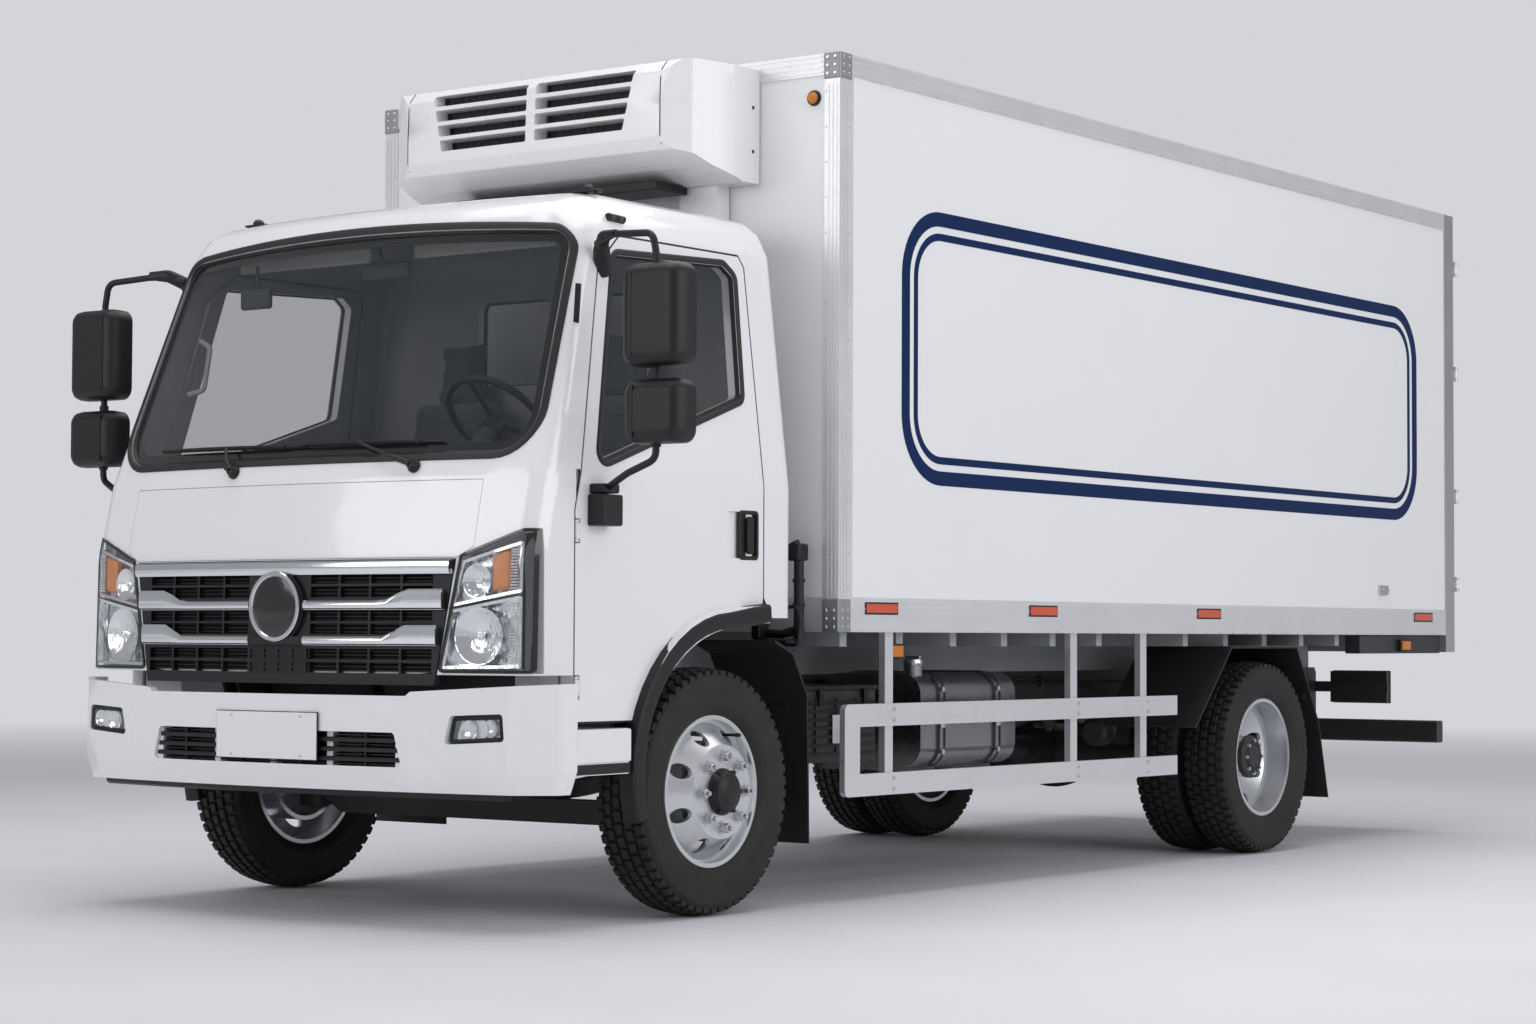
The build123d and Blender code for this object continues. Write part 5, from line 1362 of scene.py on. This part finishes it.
# %% Mirrors
arm_points = ((1.120, -0.640, 2.572), (1.250, -0.700, 2.592), (1.473, -0.745, 2.576), (1.492, -0.745, 2.480),
              (1.492, -0.745, 1.740), (1.380, -0.772, 1.690), (1.235, -0.715, 1.640))
bracket_points = (
    (1.092, -0.562, 2.462), (1.125, -0.622, 2.560), (1.190, -0.680, 2.600), (1.262, -0.704, 2.596))
mirror_heads = (                # X and height of the middle, half width, half height
    (1.507, 2.270, 0.138, 0.192), (1.512, 1.914, 0.134, 0.120))
head_rows = ((-0.052, -0.822), (-0.026, -0.814), (-0.008, -0.796), (-0.001, -0.772), (0.0, -0.742),
             (-0.003, -0.700), (-0.009, -0.694), (-0.012, -0.702))
for side, word, door in SIDES:
    holder = bmesh.new()
    bent_pipe(holder, side, arm_points, 0.050, 0.0135, 16, steps=6)
    bent_pipe(holder, side, bracket_points, 0.05, lambda share: 0.034 - 0.014 * share, 16, 0.62)
    side_block(holder, side, (1.130, 1.262), (aft(-0.765), aft(-0.645)), (1.500, 1.618), 0.010)
    side_block(holder, side, (1.150, 1.256), (aft(-0.755), aft(-0.660)), (1.622, 1.658), 0.008)
    for z in (1.800, 2.040, 2.110, 2.440):
        drum(holder, Vector((side * 1.492, aft(-0.745), z)), (0, 0, 1), 0.019, 0.030, segments=20)
    new_piece(f"mirror_arm_{word}", holder, black_plastic, door)
    heads, faces = bmesh.new(), bmesh.new()
    for x, z, half_x, half_z in mirror_heads:
        corners = oblong(x, z, -half_x, -half_z)
        facing_end(heads, side, corners, 0.052, [(grow, aft(y)) for grow, y in head_rows], 0.06)
        rib = oblong(x - half_x * 0.58, z, -half_x * 0.04, -half_z * 0.80)
        loft(heads, [[Vector((side * rib_x, aft(y), rib_z)) for rib_x, rib_z in rib]
                     for y in (-0.812, -0.8235)])
        facing_end(faces, side, corners, 0.052, ((-0.013, aft(-0.703)), (-0.013, aft(-0.6985))), 0.06)
    heads_piece = new_piece(f"mirror_heads_{word}", heads, black_plastic, door)
    new_piece(f"mirror_glass_{word}", faces, mirror_chrome, door, curved=False)
    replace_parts(heads_piece, f"mirror_{word}")
print("doors and mirrors dressed")

# %% Entry steps: a white side panel above a black skirt
step_line = ((-0.886, 1.2405), (-0.800, 1.2350), (-0.700, 1.2280), (-0.600, 1.2200), (-0.540, 1.2140))
step_parts = (
    ("panel", moulded_white, ((0.002, 0.622), (0.0045, 0.626), (0.0045, 0.738), (0.002, 0.742),
                              (-0.012, 0.742), (-0.012, 0.622))),
    ("skirt", black_plastic, ((-0.004, 0.577), (0.0025, 0.580), (0.0025, 0.616), (-0.012, 0.616),
                              (-0.012, 0.577))))
for side, word, _ in SIDES:
    for name, finish, section in step_parts:
        part = bmesh.new()
        loft(part, [[Vector((side * (x + dx), aft(y), z)) for dx, z in section] for y, x in step_line])
        new_piece(f"step_{name}_{word}", part, finish, "chassis")
print("steps dressed")

# %% [markdown]
# ## Cargo body
#
# A double navy line frames each side panel. The rails are ribbed extrusions, the corner posts fluted and
# riveted, and a grey casting with bolts on both faces caps each front corner. Small parts that repeat, such
# as rivets and bolts, are placed by loops along the edges they fasten.

# %% Navy frames on the side panels
wall_rays, trim_rays = surface("box_walls"), surface("box_edge_trim")
side_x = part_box("box_walls")[1].x
panel_corners = [(aft(y), z) for y, z in ((1.205, 1.740), (6.366, 1.740), (6.366, 2.920), (1.205, 2.920))]
for side, word, _ in SIDES:
    wall_x = abs(hit_from(wall_rays, (side * 2, aft(3.5), 2.3), (-side, 0, 0)).x)
    frames = bmesh.new()
    for outer, inner in ((0.0, -0.062), (-0.092, -0.124)):
        rows = [(grow, wall_x + lift) for grow, lift in band_rows(outer, inner, 0.0011)]
        facing_side(frames, side, panel_corners, 0.30, rows, 0.4, "join", 14)
    new_piece(f"navy_frames_{word}", frames, navy_film, "chassis", curved=False)
print(f"navy frames {wall_x:.3f} m from the middle")

# %% Ribs, flutes, rivets and bolts
trim_low, trim_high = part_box("box_edge_trim")
front_face, rail_back, trim_half = trim_low.y, trim_high.y, trim_high.x
top_ribs = (3.424, 3.446, 3.468, 3.490)
rib_half = 0.0035
post_heights = (1.250, 3.370)
post_rivet = ((-0.001, 0.0048), (0.0008, 0.0048), (0.0028, 0.003), (0.0034, 0), (-0.001, 0))
rail_rivet = ((-0.001, 0.0045), (0.0008, 0.0045), (0.0030, 0), (-0.001, 0))
casting_bolt = ((-0.001, 0.0075), (0.002, 0.0075), (0.005, 0.005), (0.005, 0), (-0.001, 0))


def trim_x(side, y, z):
    """How far from the middle the edge trim's face is on one side."""
    return abs(hit_from(trim_rays, (side * 2, y, z), (-side, 0, 0), Vector((side * trim_half, 0, 0))).x)


ribs, rivets, bolts, castings = bmesh.new(), bmesh.new(), bmesh.new(), bmesh.new()
for side in (LEFT, RIGHT):
    out = Vector((side, 0, 0))
    for z in (1.122, 1.150, 1.178, 1.206, 1.234) + top_ribs:
        x = trim_x(side, aft(3.2), z)
        side_block(ribs, side, (x - 0.002, x + 0.0028), (front_face + 0.080, rail_back - 0.010),
                   (z - rib_half, z + rib_half))
    for dy in (0.020, 0.040, 0.060):
        side_block(ribs, side, (trim_half - 0.002, trim_half + 0.0026),
                   (front_face + dy - 0.004, front_face + dy + 0.004), post_heights)
    for dx in (0.016, 0.036, 0.056):
        side_block(ribs, side, (trim_half - dx - 0.003, trim_half - dx + 0.003),
                   (front_face - 0.0022, front_face + 0.002), post_heights)
    for k in range(15):
        z = 1.290 + 0.1465 * k
        turned(rivets, post_rivet, Vector((side * trim_half, front_face + 0.070, z)), out, 10)
        turned(rivets, post_rivet, Vector((side * (trim_half - 0.068), front_face, z)), forward, 10)
    for k in range(42):
        y = front_face + 0.16 + 0.1425 * k
        for z in (1.112, 3.412):
            turned(rivets, rail_rivet, Vector((side * trim_x(side, y, z + 0.008), y, z + 0.004)), out, 8)
    for z0, z1 in ((3.392, 3.503), (1.108, 1.246)):
        side_block(castings, side, (trim_half - 0.080, trim_half + 0.004),
                   (front_face - 0.005, front_face + 0.088), (z0, z1), 0.007)
        for dz in (0.022, 0.056, 0.090):
            for x, dy, way in ((trim_half + 0.004, 0.022, out), (trim_half + 0.004, 0.062, out),
                               (trim_half - 0.020, -0.005, forward), (trim_half - 0.058, -0.005, forward)):
                turned(bolts, casting_bolt, Vector((side * x, front_face + dy, z0 + dz)), way, 12)
for z in top_ribs:
    y = hit_from(trim_rays, (0, nose_plane, z), backward, Vector((0, front_face, 0))).y
    block(ribs, (-trim_half + 0.085, y - 0.0026, z - rib_half), (trim_half - 0.085, y + 0.002, z + rib_half))
new_piece("box_ribs", ribs, rail_aluminium, "chassis", curved=False)
new_piece("box_rivets", rivets, nut_steel, "chassis")
new_piece("corner_castings", castings, casting_grey, "chassis")
new_piece("casting_bolts", bolts, nut_steel, "chassis")
print("rails, posts and castings fastened")

# %% Reflectors and marker lamps
front_lamp_case = ((-0.001, 0.034), (0.014, 0.030), (0.014, 0), (-0.001, 0))
front_lamp_lens = ((0.012, 0.026), (0.022, 0.022), (0.027, 0.010), (0.028, 0), (0.012, 0))
reflectors, amber, cases, sills = bmesh.new(), bmesh.new(), bmesh.new(), bmesh.new()
for side in (LEFT, RIGHT):
    for y in (1.050, 2.350, 3.920, 6.430):
        x = trim_x(side, aft(y), 1.20)
        side_block(reflectors, side, (x, x + 0.0052), around(y, 0.115), (1.190, 1.228))
        side_block(cases, side, (x, x + 0.0040), around(y, 0.122), (1.183, 1.235))
    for y, z, out in ((1.270, 1.030, 1.206), (6.230, 1.052, 1.270)):
        side_block(cases, side, (out - 0.038, out - 0.010), around(y, 0.062), (z - 0.032, z + 0.032))
        side_block(cases, side, (out - 0.056, out - 0.034), around(y, 0.012), (z, 1.106))
        side_block(amber, side, (out - 0.016, out), around(y, 0.052), (z - 0.024, z + 0.024))
    side_block(sills, side, (1.150, 1.238), (aft(5.700), aft(6.735)), (1.008, 1.106))
    place = Vector((side * 1.144, 0, 3.319))
    place.y = hit_from(wall_rays, (place.x, nose_plane, place.z), backward).y
    turned(cases, front_lamp_case, place, forward, 28)
    turned(amber, front_lamp_lens, place, forward, 24)
new_piece("reflectors", reflectors, reflector_red, "chassis", bevel=0.002)
new_piece("marker_lamp_cases", cases, black_plastic, "chassis", bevel=0.003)
new_piece("rear_sills", sills, chassis_black, "chassis", curved=False, bevel=0.004)
new_piece("marker_lamp_lenses", amber, lens_amber, "chassis", bevel=0.003)
print("reflectors and marker lamps fitted")

# %% Latch on the side and seals of the rear doors
latch = bmesh.new()
side_block(latch, LEFT, (side_x - 0.002, side_x + 0.016), (aft(5.860), aft(5.960)), (1.325, 1.378))
drum(latch, Vector((side_x + 0.018, aft(5.890), 1.352)), (1, 0, 0), 0.013, 0.020, segments=20)
side_block(latch, LEFT, (side_x + 0.014, side_x + 0.026), (aft(5.885), aft(5.952)), (1.343, 1.361))
new_piece("side_latch", latch, nut_steel, "chassis", bevel=0.003)
leaf_face = aft(6.848)
seal_depth = (leaf_face - 0.003, leaf_face + 0.0045)
for side, word, _ in SIDES:
    low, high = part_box(f"cargo_door_{word}")
    gasket = bmesh.new()
    for x in (0.012, 1.165):
        side_block(gasket, side, (x, x + 0.016), seal_depth, (low.z + 0.02, high.z - 0.02))
    for z in (low.z + 0.010, high.z - 0.026):
        side_block(gasket, side, (0.014, 1.180), seal_depth, (z, z + 0.016))
    new_piece(f"cargo_door_gasket_{word}", gasket, seal_rubber, f"{word}_rear_door", bevel=0.002)
print("cargo body trimmed")

# %% [markdown]
# ## Refrigeration unit
#
# The housing is a smooth moulding in three parts, so two fine seams run down its front near its ends. Dark
# mesh lies behind each slot, and a black condenser tray hangs under it.

# %% Mesh, tray and seams
unit_rays = surface("reefer_unit")
unit_screw = ((-0.001, 0.008), (0.0015, 0.008), (0.003, 0.005), (0.003, 0), (-0.001, 0))
inner, slot_height, slot_inset = 0.030, 0.046, 0.003
mesh = bmesh.new()
for side in (LEFT, RIGHT):
    for row in range(4):
        top, outer = 3.430 - 0.066 * row, 0.554 - 0.015 * row
        bottom = top - slot_height
        back = hit_from(unit_rays, (side * (inner + outer) / 2, nose_plane, top - 0.024), backward).y - 0.006
        side_block(mesh, side, (inner, outer), (back, back + 0.003), (bottom, top - slot_inset))
        for wire in range(7):
            z = bottom + 0.0068 * wire
            side_block(mesh, side, (inner, outer), (back - 0.004, back + 0.001), (z, z + 0.0022))
        for bar in range(13):
            x = inner + (outer - inner) * (bar + 0.5) / 13
            side_block(mesh, side, (x - 0.0014, x + 0.0014), (back - 0.005, back), (bottom, top - slot_inset))
new_piece("unit_mesh", mesh, black_plastic, "chassis", curved=False)

tray = bmesh.new()
block(tray, (-0.560, aft(0.420), 2.950), (0.560, aft(0.640), 2.990), 0.008, 2)
new_piece("unit_tray", tray, black_plastic, "chassis")

seams = bmesh.new()
for side in (LEFT, RIGHT):
    points = []
    for step in range(10):
        origin = Vector((side * 0.700, nose_plane, 3.110 + 0.0385 * step))
        point, normal = unit_rays.ray_cast(origin, backward)[:2]
        if point is not None:
            points.append(point - normal * 0.0005 if normal.y > 0 else point + normal * 0.0005)
    pipe(seams, points, 0.0022, 6)
    for z in (3.115, 3.300):
        place = hit_from(unit_rays, (side * 2, aft(0.690), z), (-side, 0, 0))
        turned(seams, unit_screw, place, (side, 0, 0), 16)
new_piece("unit_seams", seams, seal_rubber, "chassis")
print("refrigeration unit dressed")

# %% [markdown]
# ## Under and behind the body
#
# Tail lamps, the intake pipe and the looped handle behind the cab, the tank's and the battery box's
# details, brake chambers, air tanks and air lines. Hoses are short, so each is one bent tube.

# %% Tail lamps
lamp_cases, red_lenses, amber_lenses = bmesh.new(), bmesh.new(), bmesh.new()
lamp_back = aft(6.868)
for side in (LEFT, RIGHT):
    side_block(lamp_cases, side, (0.516, 0.876), (lamp_back - 0.006, lamp_back + 0.004), (0.716, 0.904),
               0.004, 2)
    for x, lens in (((0.530, 0.690), red_lenses), ((0.700, 0.780), amber_lenses),
                    ((0.790, 0.862), red_lenses)):
        side_block(lens, side, x, (lamp_back, lamp_back + 0.014), (0.732, 0.888), 0.005, 2)
new_piece("tail_lamp_cases", lamp_cases, black_plastic, "chassis")
new_piece("tail_lamps_red", red_lenses, lens_red, "chassis")
new_piece("tail_lamps_amber", amber_lenses, lens_amber, "chassis")
print("tail lamps fitted")

# %% Intake, looped handle and pipes behind the cab
intake = bmesh.new()
bent_pipe(intake, LEFT, ((1.138, 0.650, 1.080), (1.138, 0.650, 1.440), (1.120, 0.640, 1.480)),
          0.05, 0.021, 16, 0.9)
side_block(intake, LEFT, (1.100, 1.162), (aft(0.615), aft(0.690)), (1.400, 1.472), 0.012)
for z in (1.12, 1.22, 1.32):
    drum(intake, Vector((1.138, aft(0.650), z)), (0, 0, 1), 0.026, 0.016, segments=20)
bent_pipe(intake, LEFT, ((0.960, 0.640, 1.105), (1.060, 0.640, 1.100), (1.138, 0.650, 1.120)), 0.05, 0.018)
bent_pipe(intake, LEFT, ((1.115, 0.590, 1.060), (1.180, 0.585, 1.055), (1.192, 0.585, 1.160),
                         (1.175, 0.590, 1.215), (1.110, 0.600, 1.210)), 0.035, 0.0085, 12)
side_block(intake, LEFT, (0.940, 1.125), (aft(0.585), aft(0.660)), (1.030, 1.080), 0.010)
side_block(intake, LEFT, (0.940, 0.985), (aft(0.585), aft(0.660)), (1.080, 1.225), 0.010)
new_piece("intake_pipe", intake, black_plastic, "chassis")
print("intake, handle and pipes fitted")

# %% Fuel tank, battery box and guards
tank_top, tank_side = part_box("fuel_tank")[1].z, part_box("fuel_tank")[1].x
strap_places = (1.850, 2.310)
strap_corners = ((0.515, 0.515), (1.055, 0.515), (1.055, 0.935), (0.515, 0.935))
filler_cap = ((-0.002, 0.040), (0.010, 0.046), (0.026, 0.044), (0.030, 0.036), (0.030, 0), (-0.002, 0))
guard_bolt = ((-0.001, 0.010), (0.003, 0.010), (0.007, 0.006), (0.007, 0), (-0.001, 0))
fittings = bmesh.new()
cap_place = Vector((0.960, aft(1.765), tank_top))
turned(fittings, filler_cap, cap_place, (0, 0, 1), 36)
block(fittings, cap_place + Vector((-0.036, -0.007, 0.028)), cap_place + Vector((0.036, 0.007, 0.042)))
for y in strap_places:
    for z in (0.585, 0.860):
        drum(fittings, Vector((tank_side + 0.004, aft(y), z)), (1, 0, 0), 0.013, 0.012, segments=6)
    side_block(fittings, LEFT, (tank_side - 0.004, tank_side + 0.010), around(y, 0.018), (0.690, 0.745),
               0.004, 2)
new_piece("tank_fittings", fittings, nut_steel, "chassis")
straps = bmesh.new()
for y in strap_places:
    for edge in (y - 0.022, y + 0.022):
        facing_end(straps, LEFT, strap_corners, 0.100, (
            (0.0005, aft(edge - 0.006)), (0.0035, aft(edge - 0.006)), (0.0035, aft(edge + 0.006)),
            (0.0005, aft(edge + 0.006))), 0.1, "join")
new_piece("strap_beads", straps, seal_rubber, "chassis")

battery, blank = bmesh.new(), bmesh.new()
battery_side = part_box("battery_box")[1].x
battery_y = 1.150


def on_battery(shape, sunk, proud, y, z, *rounding):
    """A block on the battery box's side between two depths, two Y and two heights."""
    side_block(shape, LEFT, (battery_side - sunk, battery_side + proud), y, z, *rounding)


for k in range(7):
    z = 0.590 + 0.036 * k
    on_battery(battery, 0.006, 0.0035, around(battery_y, 0.245), (z, z + 0.014))
on_battery(battery, 0.470, 0.006, around(battery_y, 0.270), (0.862, 0.886), 0.008, 2)
for y in (0.985, 1.315):
    on_battery(battery, 0.002, 0.014, around(y, 0.016), (0.800, 0.870), 0.004, 2)
new_piece("battery_cover", battery, black_plastic, "chassis")
on_battery(blank, -0.003, 0.0065, around(battery_y, 0.075), (0.640, 0.760))
new_piece("battery_plate", blank, plate_white, "chassis", bevel=0.001)

guard_bolts = bmesh.new()
guard_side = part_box("side_guards")[1].x
for side in (LEFT, RIGHT):
    for y in (1.170, 2.690, 3.340):
        for z in (0.455, 0.499, 0.742, 0.788):
            turned(guard_bolts, guard_bolt, Vector((side * guard_side, aft(y), z)), (side, 0, 0), 6)
new_piece("guard_bolts", guard_bolts, nut_steel, "chassis")
print("tank, battery box and guards dressed")

# %% Air tanks, brake chambers and lines
chamber = ((-0.085, 0), (-0.085, 0.055), (-0.070, 0.074), (-0.004, 0.078), (0.004, 0.084), (0.012, 0.078),
           (0.055, 0.070), (0.070, 0.050), (0.070, 0))
tank_front, tank_length = 2.62, 0.40
tank_end = ((0, 0), (0.012, 0.060), (0.030, 0.095), (0.050, 0.100))
air_tank = tank_end + tuple((tank_length - along, radius) for along, radius in reversed(tank_end))
brakes, lines = bmesh.new(), bmesh.new()
for side in (LEFT, RIGHT):
    for y in (4.10, 4.34):
        turned(brakes, chamber, Vector((side * 0.560, aft(y), axle_height + 0.135)), (0, 1, 0.15), 32)
for x in (0.62, 0.87):
    turned(brakes, air_tank, Vector((RIGHT * x, aft(tank_front), 0.780)), (0, 1, 0), 40)
    for y in (tank_front + 0.09, tank_front + tank_length - 0.09):
        side_block(brakes, RIGHT, (x - 0.014, x + 0.014), around(y, 0.012), (0.870, 1.049))
new_piece("air_tanks_and_brakes", brakes, chassis_black, "chassis")
for side, start in ((LEFT, 0.700), (RIGHT, 0.730)):
    to_chamber = ((0.446, start, 0.885), (0.446, 2.4, 0.885), (0.446, 3.9, 0.880), (0.470, 4.18, 0.830),
                  (0.552, 4.24, axle_height + 0.22))
    to_rear = ((0.444, start, 0.860), (0.444, 2.6, 0.860), (0.444, 6.4, 0.860))
    for run, radius in ((to_chamber, 0.007), (to_rear, 0.006)):
        bent_pipe(lines, side, run, 0.08, radius, 10, steps=4)
    for y in (1.5, 2.9, 3.7, 5.2, 6.0):
        side_block(lines, side, (0.429, 0.456), around(y, 0.012), (0.846, 0.898))
new_piece("air_lines", lines, seal_rubber, "chassis")
print("chassis details fitted")

# %% [markdown]
# ## Cab interior
#
# The seats are stuffed: each cushion starts as a slightly small lofted form, is remeshed into even quads
# and blown up by a cloth simulation with a little pressure, and no point may move more than a few
# centimetres. The base of each seat stays a rigid shell. Seams are laid on the finished pads.

# %% Padded seats
seats = ((-0.455, "right"), (0.455, "left"))
seat_pads = (                   # name, half width, (Y, Z) profile and its radius
    ("cushion", 0.243, ((-0.318, 1.452), (0.170, 1.418), (0.172, 1.530), (-0.306, 1.568)), 0.040),
    ("back", 0.243, ((0.176, 1.500), (0.278, 1.516), (0.382, 2.104), (0.306, 2.120)), 0.038),
    ("headrest", 0.130, ((0.328, 2.072), (0.374, 2.068), (0.418, 2.356), (0.360, 2.356)), 0.022))
pad_edge = ((1.0, -0.036), (0.965, -0.018), (0.90, -0.006), (0.78, 0.0), (0.4, 0.0))


def pad_shape(centre, half, profile, radius):
    """A profile carried across a seat, drawn in towards its two sides."""
    shape = bmesh.new()
    stations = [(-share, grow) for share, grow in pad_edge] + [(0.0, 0.0)] + list(reversed(pad_edge))
    loft(shape, [[Vector((centre + share * half, aft(y), z)) for y, z in outline(profile, radius, grow, 0.03)]
                 for share, grow in stations])
    return shape


pads = {}
for centre, word in seats:
    for part, *form in seat_pads:
        piece = new_piece(f"seat_{part}_{word}", pad_shape(centre, *form), seat_cloth, "cab", curved=False)
        remesh = piece.modifiers.new("remesh", "REMESH")
        remesh.mode, remesh.voxel_size = "VOXEL", 0.011
        pads[piece.name] = piece

depsgraph = bpy.context.evaluated_depsgraph_get()
for piece in pads.values():
    even = bpy.data.meshes.new_from_object(piece.evaluated_get(depsgraph))
    piece.modifiers.clear()
    piece.data = even
print(f"{len(pads)} pads of even quads")

# %% Blow the pads up with a capped cloth simulation
swell_cap, swell_pressure, swell_frames = 0.024, 4, 20
rest = {name: [vertex.co.copy() for vertex in piece.data.vertices] for name, piece in pads.items()}
for piece in pads.values():
    cloth = piece.modifiers.new("cloth", "CLOTH")
    cloth.settings.use_pressure = True
    cloth.settings.uniform_pressure_force = swell_pressure
    cloth.settings.effector_weights.gravity = 0
    cloth.point_cache.frame_start, cloth.point_cache.frame_end = 1, swell_frames
for frame_number in range(1, swell_frames + 1):
    scene.frame_set(frame_number)
depsgraph = bpy.context.evaluated_depsgraph_get()
for name, piece in pads.items():
    blown = bpy.data.meshes.new_from_object(piece.evaluated_get(depsgraph))
    for vertex, start in zip(blown.vertices, rest[name]):
        moved = vertex.co - start
        if moved.length > swell_cap:
            vertex.co = start + moved.normalized() * swell_cap
    piece.modifiers.clear()
    piece.data = blown
scene.frame_set(1)
for piece in pads.values():
    form = bmesh.new()
    form.from_mesh(piece.data)
    for step in range(3):
        bmesh.ops.smooth_vert(form, verts=form.verts, factor=0.5,
                              use_axis_x=True, use_axis_y=True, use_axis_z=True)
    bmesh.ops.recalc_face_normals(form, faces=form.faces)
    for face in form.faces:
        face.smooth = True
    form.to_mesh(piece.data)
    form.free()
print({name: len(piece.data.vertices) for name, piece in pads.items()})

# %% Seams on the pads, and seat bases
seams_of = {                    # from, to, the way the rays go, places of the cross seams
    "cushion": ((-0.290, 2.0), (0.120, 2.0), (0, 0, -1), (0.28, 0.62)),
    "back": ((-0.4, 1.600), (-0.4, 2.070), (0, 1, 0), (0.25, 0.55, 0.85))}
seam_half = 0.150


def stitched(shape, rays, places, way, radius):
    """A seam where rays from these places meet a pad."""
    hits = [hit_from(rays, (x, aft(y), z), way) for x, (y, z) in places]
    pipe(shape, [point for point in hits if point is not None], radius, 8)


for centre, word in seats:
    seams = bmesh.new()
    for part, (start, end, way, cross_seams) in seams_of.items():
        data = pads[f"seat_{part}_{word}"].data
        rays = BVHTree.FromPolygons([vertex.co for vertex in data.vertices],
                                    [face.vertices[:] for face in data.polygons])
        for dx in (-seam_half, seam_half):
            stitched(seams, rays, [(centre + dx, between(start, end, k / 24)) for k in range(25)],
                     way, 0.0028)
        for share in cross_seams:
            stitched(seams, rays, [(centre + dx, between(start, end, share)) for dx in spread(seam_half, 12)],
                     way, 0.0022)
    new_piece(f"seat_seams_{word}", seams, dash_plastic, "cab")
    base = bmesh.new()
    block(base, (centre - 0.180, aft(-0.230), 1.2055), (centre + 0.180, aft(0.190), 1.425), 0.020)
    block(base, (centre - 0.225, aft(-0.300), 1.405), (centre + 0.225, aft(0.165), 1.448), 0.014)
    for dx in (-0.050, 0.050):
        drum(base, Vector((centre + dx, aft(0.350), 2.085)), (0, 0.15, 1), 0.006, 0.120, segments=12)
    base_piece = new_piece(f"seat_base_{word}", base, dash_plastic, "cab")
    if word == "right":
        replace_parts(base_piece, "seats")
print("pads stitched and set on their bases")

# %% Lining, visors, mirrors and grab handles
def lining(name, sources, body, keep):
    """The inner faces of CAD panels, lifted off a little as a separate trim skin."""
    shape = bmesh.new()
    for source in sources:
        shape.from_mesh(nodes[source].data)
    bmesh.ops.remove_doubles(shape, verts=shape.verts, dist=2e-5)
    spare = [face for face in shape.faces if not keep(face.calc_center_median(), face.normal)]
    bmesh.ops.delete(shape, geom=spare, context="FACES")
    for vertex in shape.verts:
        vertex.co += vertex.normal * 0.0015
    piece = as_object(name, shape, pale_trim)
    wall = piece.modifiers.new("wall", "SOLIDIFY")
    wall.thickness, wall.offset = 0.001, 1
    smooth(piece)
    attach(piece, body)


def inside_cab(centre, normal):
    """Whether a face of the cab looks at the middle of the cabin from inside it."""
    inwards = (Vector((0, aft(-0.15), 1.95)) - centre).normalized()
    return (inwards.dot(normal) > 0.25 and abs(centre.x) < 1.135 and 1.20 < centre.z < 2.79
            and aft(-1.0) < centre.y < aft(0.50))


lining("cab_lining", ("cab_shell",), "cab", inside_cab)
for side, word, door in SIDES:
    lining(f"door_card_{word}", (f"cab_door_{word}",), door,
           lambda centre, normal: normal.x * side < -0.7 and abs(centre.x) < 1.150 and centre.z > 0.9)

visors, mirrors, grips = bmesh.new(), bmesh.new(), bmesh.new()
for x in ((-0.86, -0.12), (0.12, 0.86)):
    side_block(visors, LEFT, x, (aft(-0.575), aft(-0.555)), (2.590, 2.700), 0.008)
new_piece("sun_visors", visors, felt, "cab")
bent_pipe(mirrors, LEFT, ((0.0, -0.640, 2.700), (0.0, -0.640, 2.600), (0.0, -0.600, 2.560)),
          0.03, 0.008, 12, steps=4)
side_block(mirrors, LEFT, (-0.125, 0.125), (aft(-0.612), aft(-0.585)), (2.510, 2.580), 0.012)
side_block(mirrors, LEFT, (-0.690, -0.520), (aft(-0.740), aft(-0.712)), (2.415, 2.500), 0.013)
bent_pipe(mirrors, LEFT, ((-0.640, -0.690, 2.600), (-0.620, -0.700, 2.520), (-0.605, -0.715, 2.480)),
          0.03, 0.007, 12, steps=4)
new_piece("inside_mirrors", mirrors, dash_plastic, "cab")
for side in (LEFT, RIGHT):
    bent_pipe(grips, side, ((0.985, -0.745, 2.080), (0.935, -0.700, 2.100), (0.925, -0.675, 2.280),
                            (0.970, -0.690, 2.310)), 0.03, 0.011)
new_piece("grab_handles", grips, felt, "cab")
print("interior trimmed")

# %% [markdown]
# The floor is a wide pale disc. Near the truck it is a plain matt surface that takes the shadow; further
# out it turns into the backdrop's own tone, so that no horizon line shows from any side.

# %% Floor
floor_radius = 90
floor_fade = (17, 14)           # how far out, and over how far, the floor turns into the backdrop
floor_finish = Finish("studio_floor", (0.72, 0.725, 0.755), 0.55)
patches = floor_finish.noise(0.9, 5)
floor_finish.feed({"Base Color": floor_finish.blend(patches, (0.70, 0.705, 0.735), (0.74, 0.745, 0.775)),
                   "Roughness": 0.42 + patches * 0.25})
across, along = floor_finish.axis("X"), floor_finish.axis("Y")
squared = across * across + along * along
distance = squared.maths("POWER", squared, 0.5)
tree = floor_finish.tree
glow, mixed = tree.nodes.new("ShaderNodeEmission"), tree.nodes.new("ShaderNodeMixShader")
glow.inputs["Color"].default_value = (*backdrop_tone, 1)
for source, target in ((distance.above(*floor_fade).socket, mixed.inputs["Fac"]),
                       (floor_finish.shader.outputs[0], mixed.inputs[1]), (glow.outputs[0], mixed.inputs[2]),
                       (mixed.outputs[0], tree.nodes["Material Output"].inputs["Surface"])):
    tree.links.new(source, target)
floor_shape = bmesh.new()
bmesh.ops.create_circle(floor_shape, cap_ends=True, segments=96, radius=floor_radius)
as_object("studio_floor", floor_shape, floor_finish)
print(f"floor {2 * floor_radius} m across")
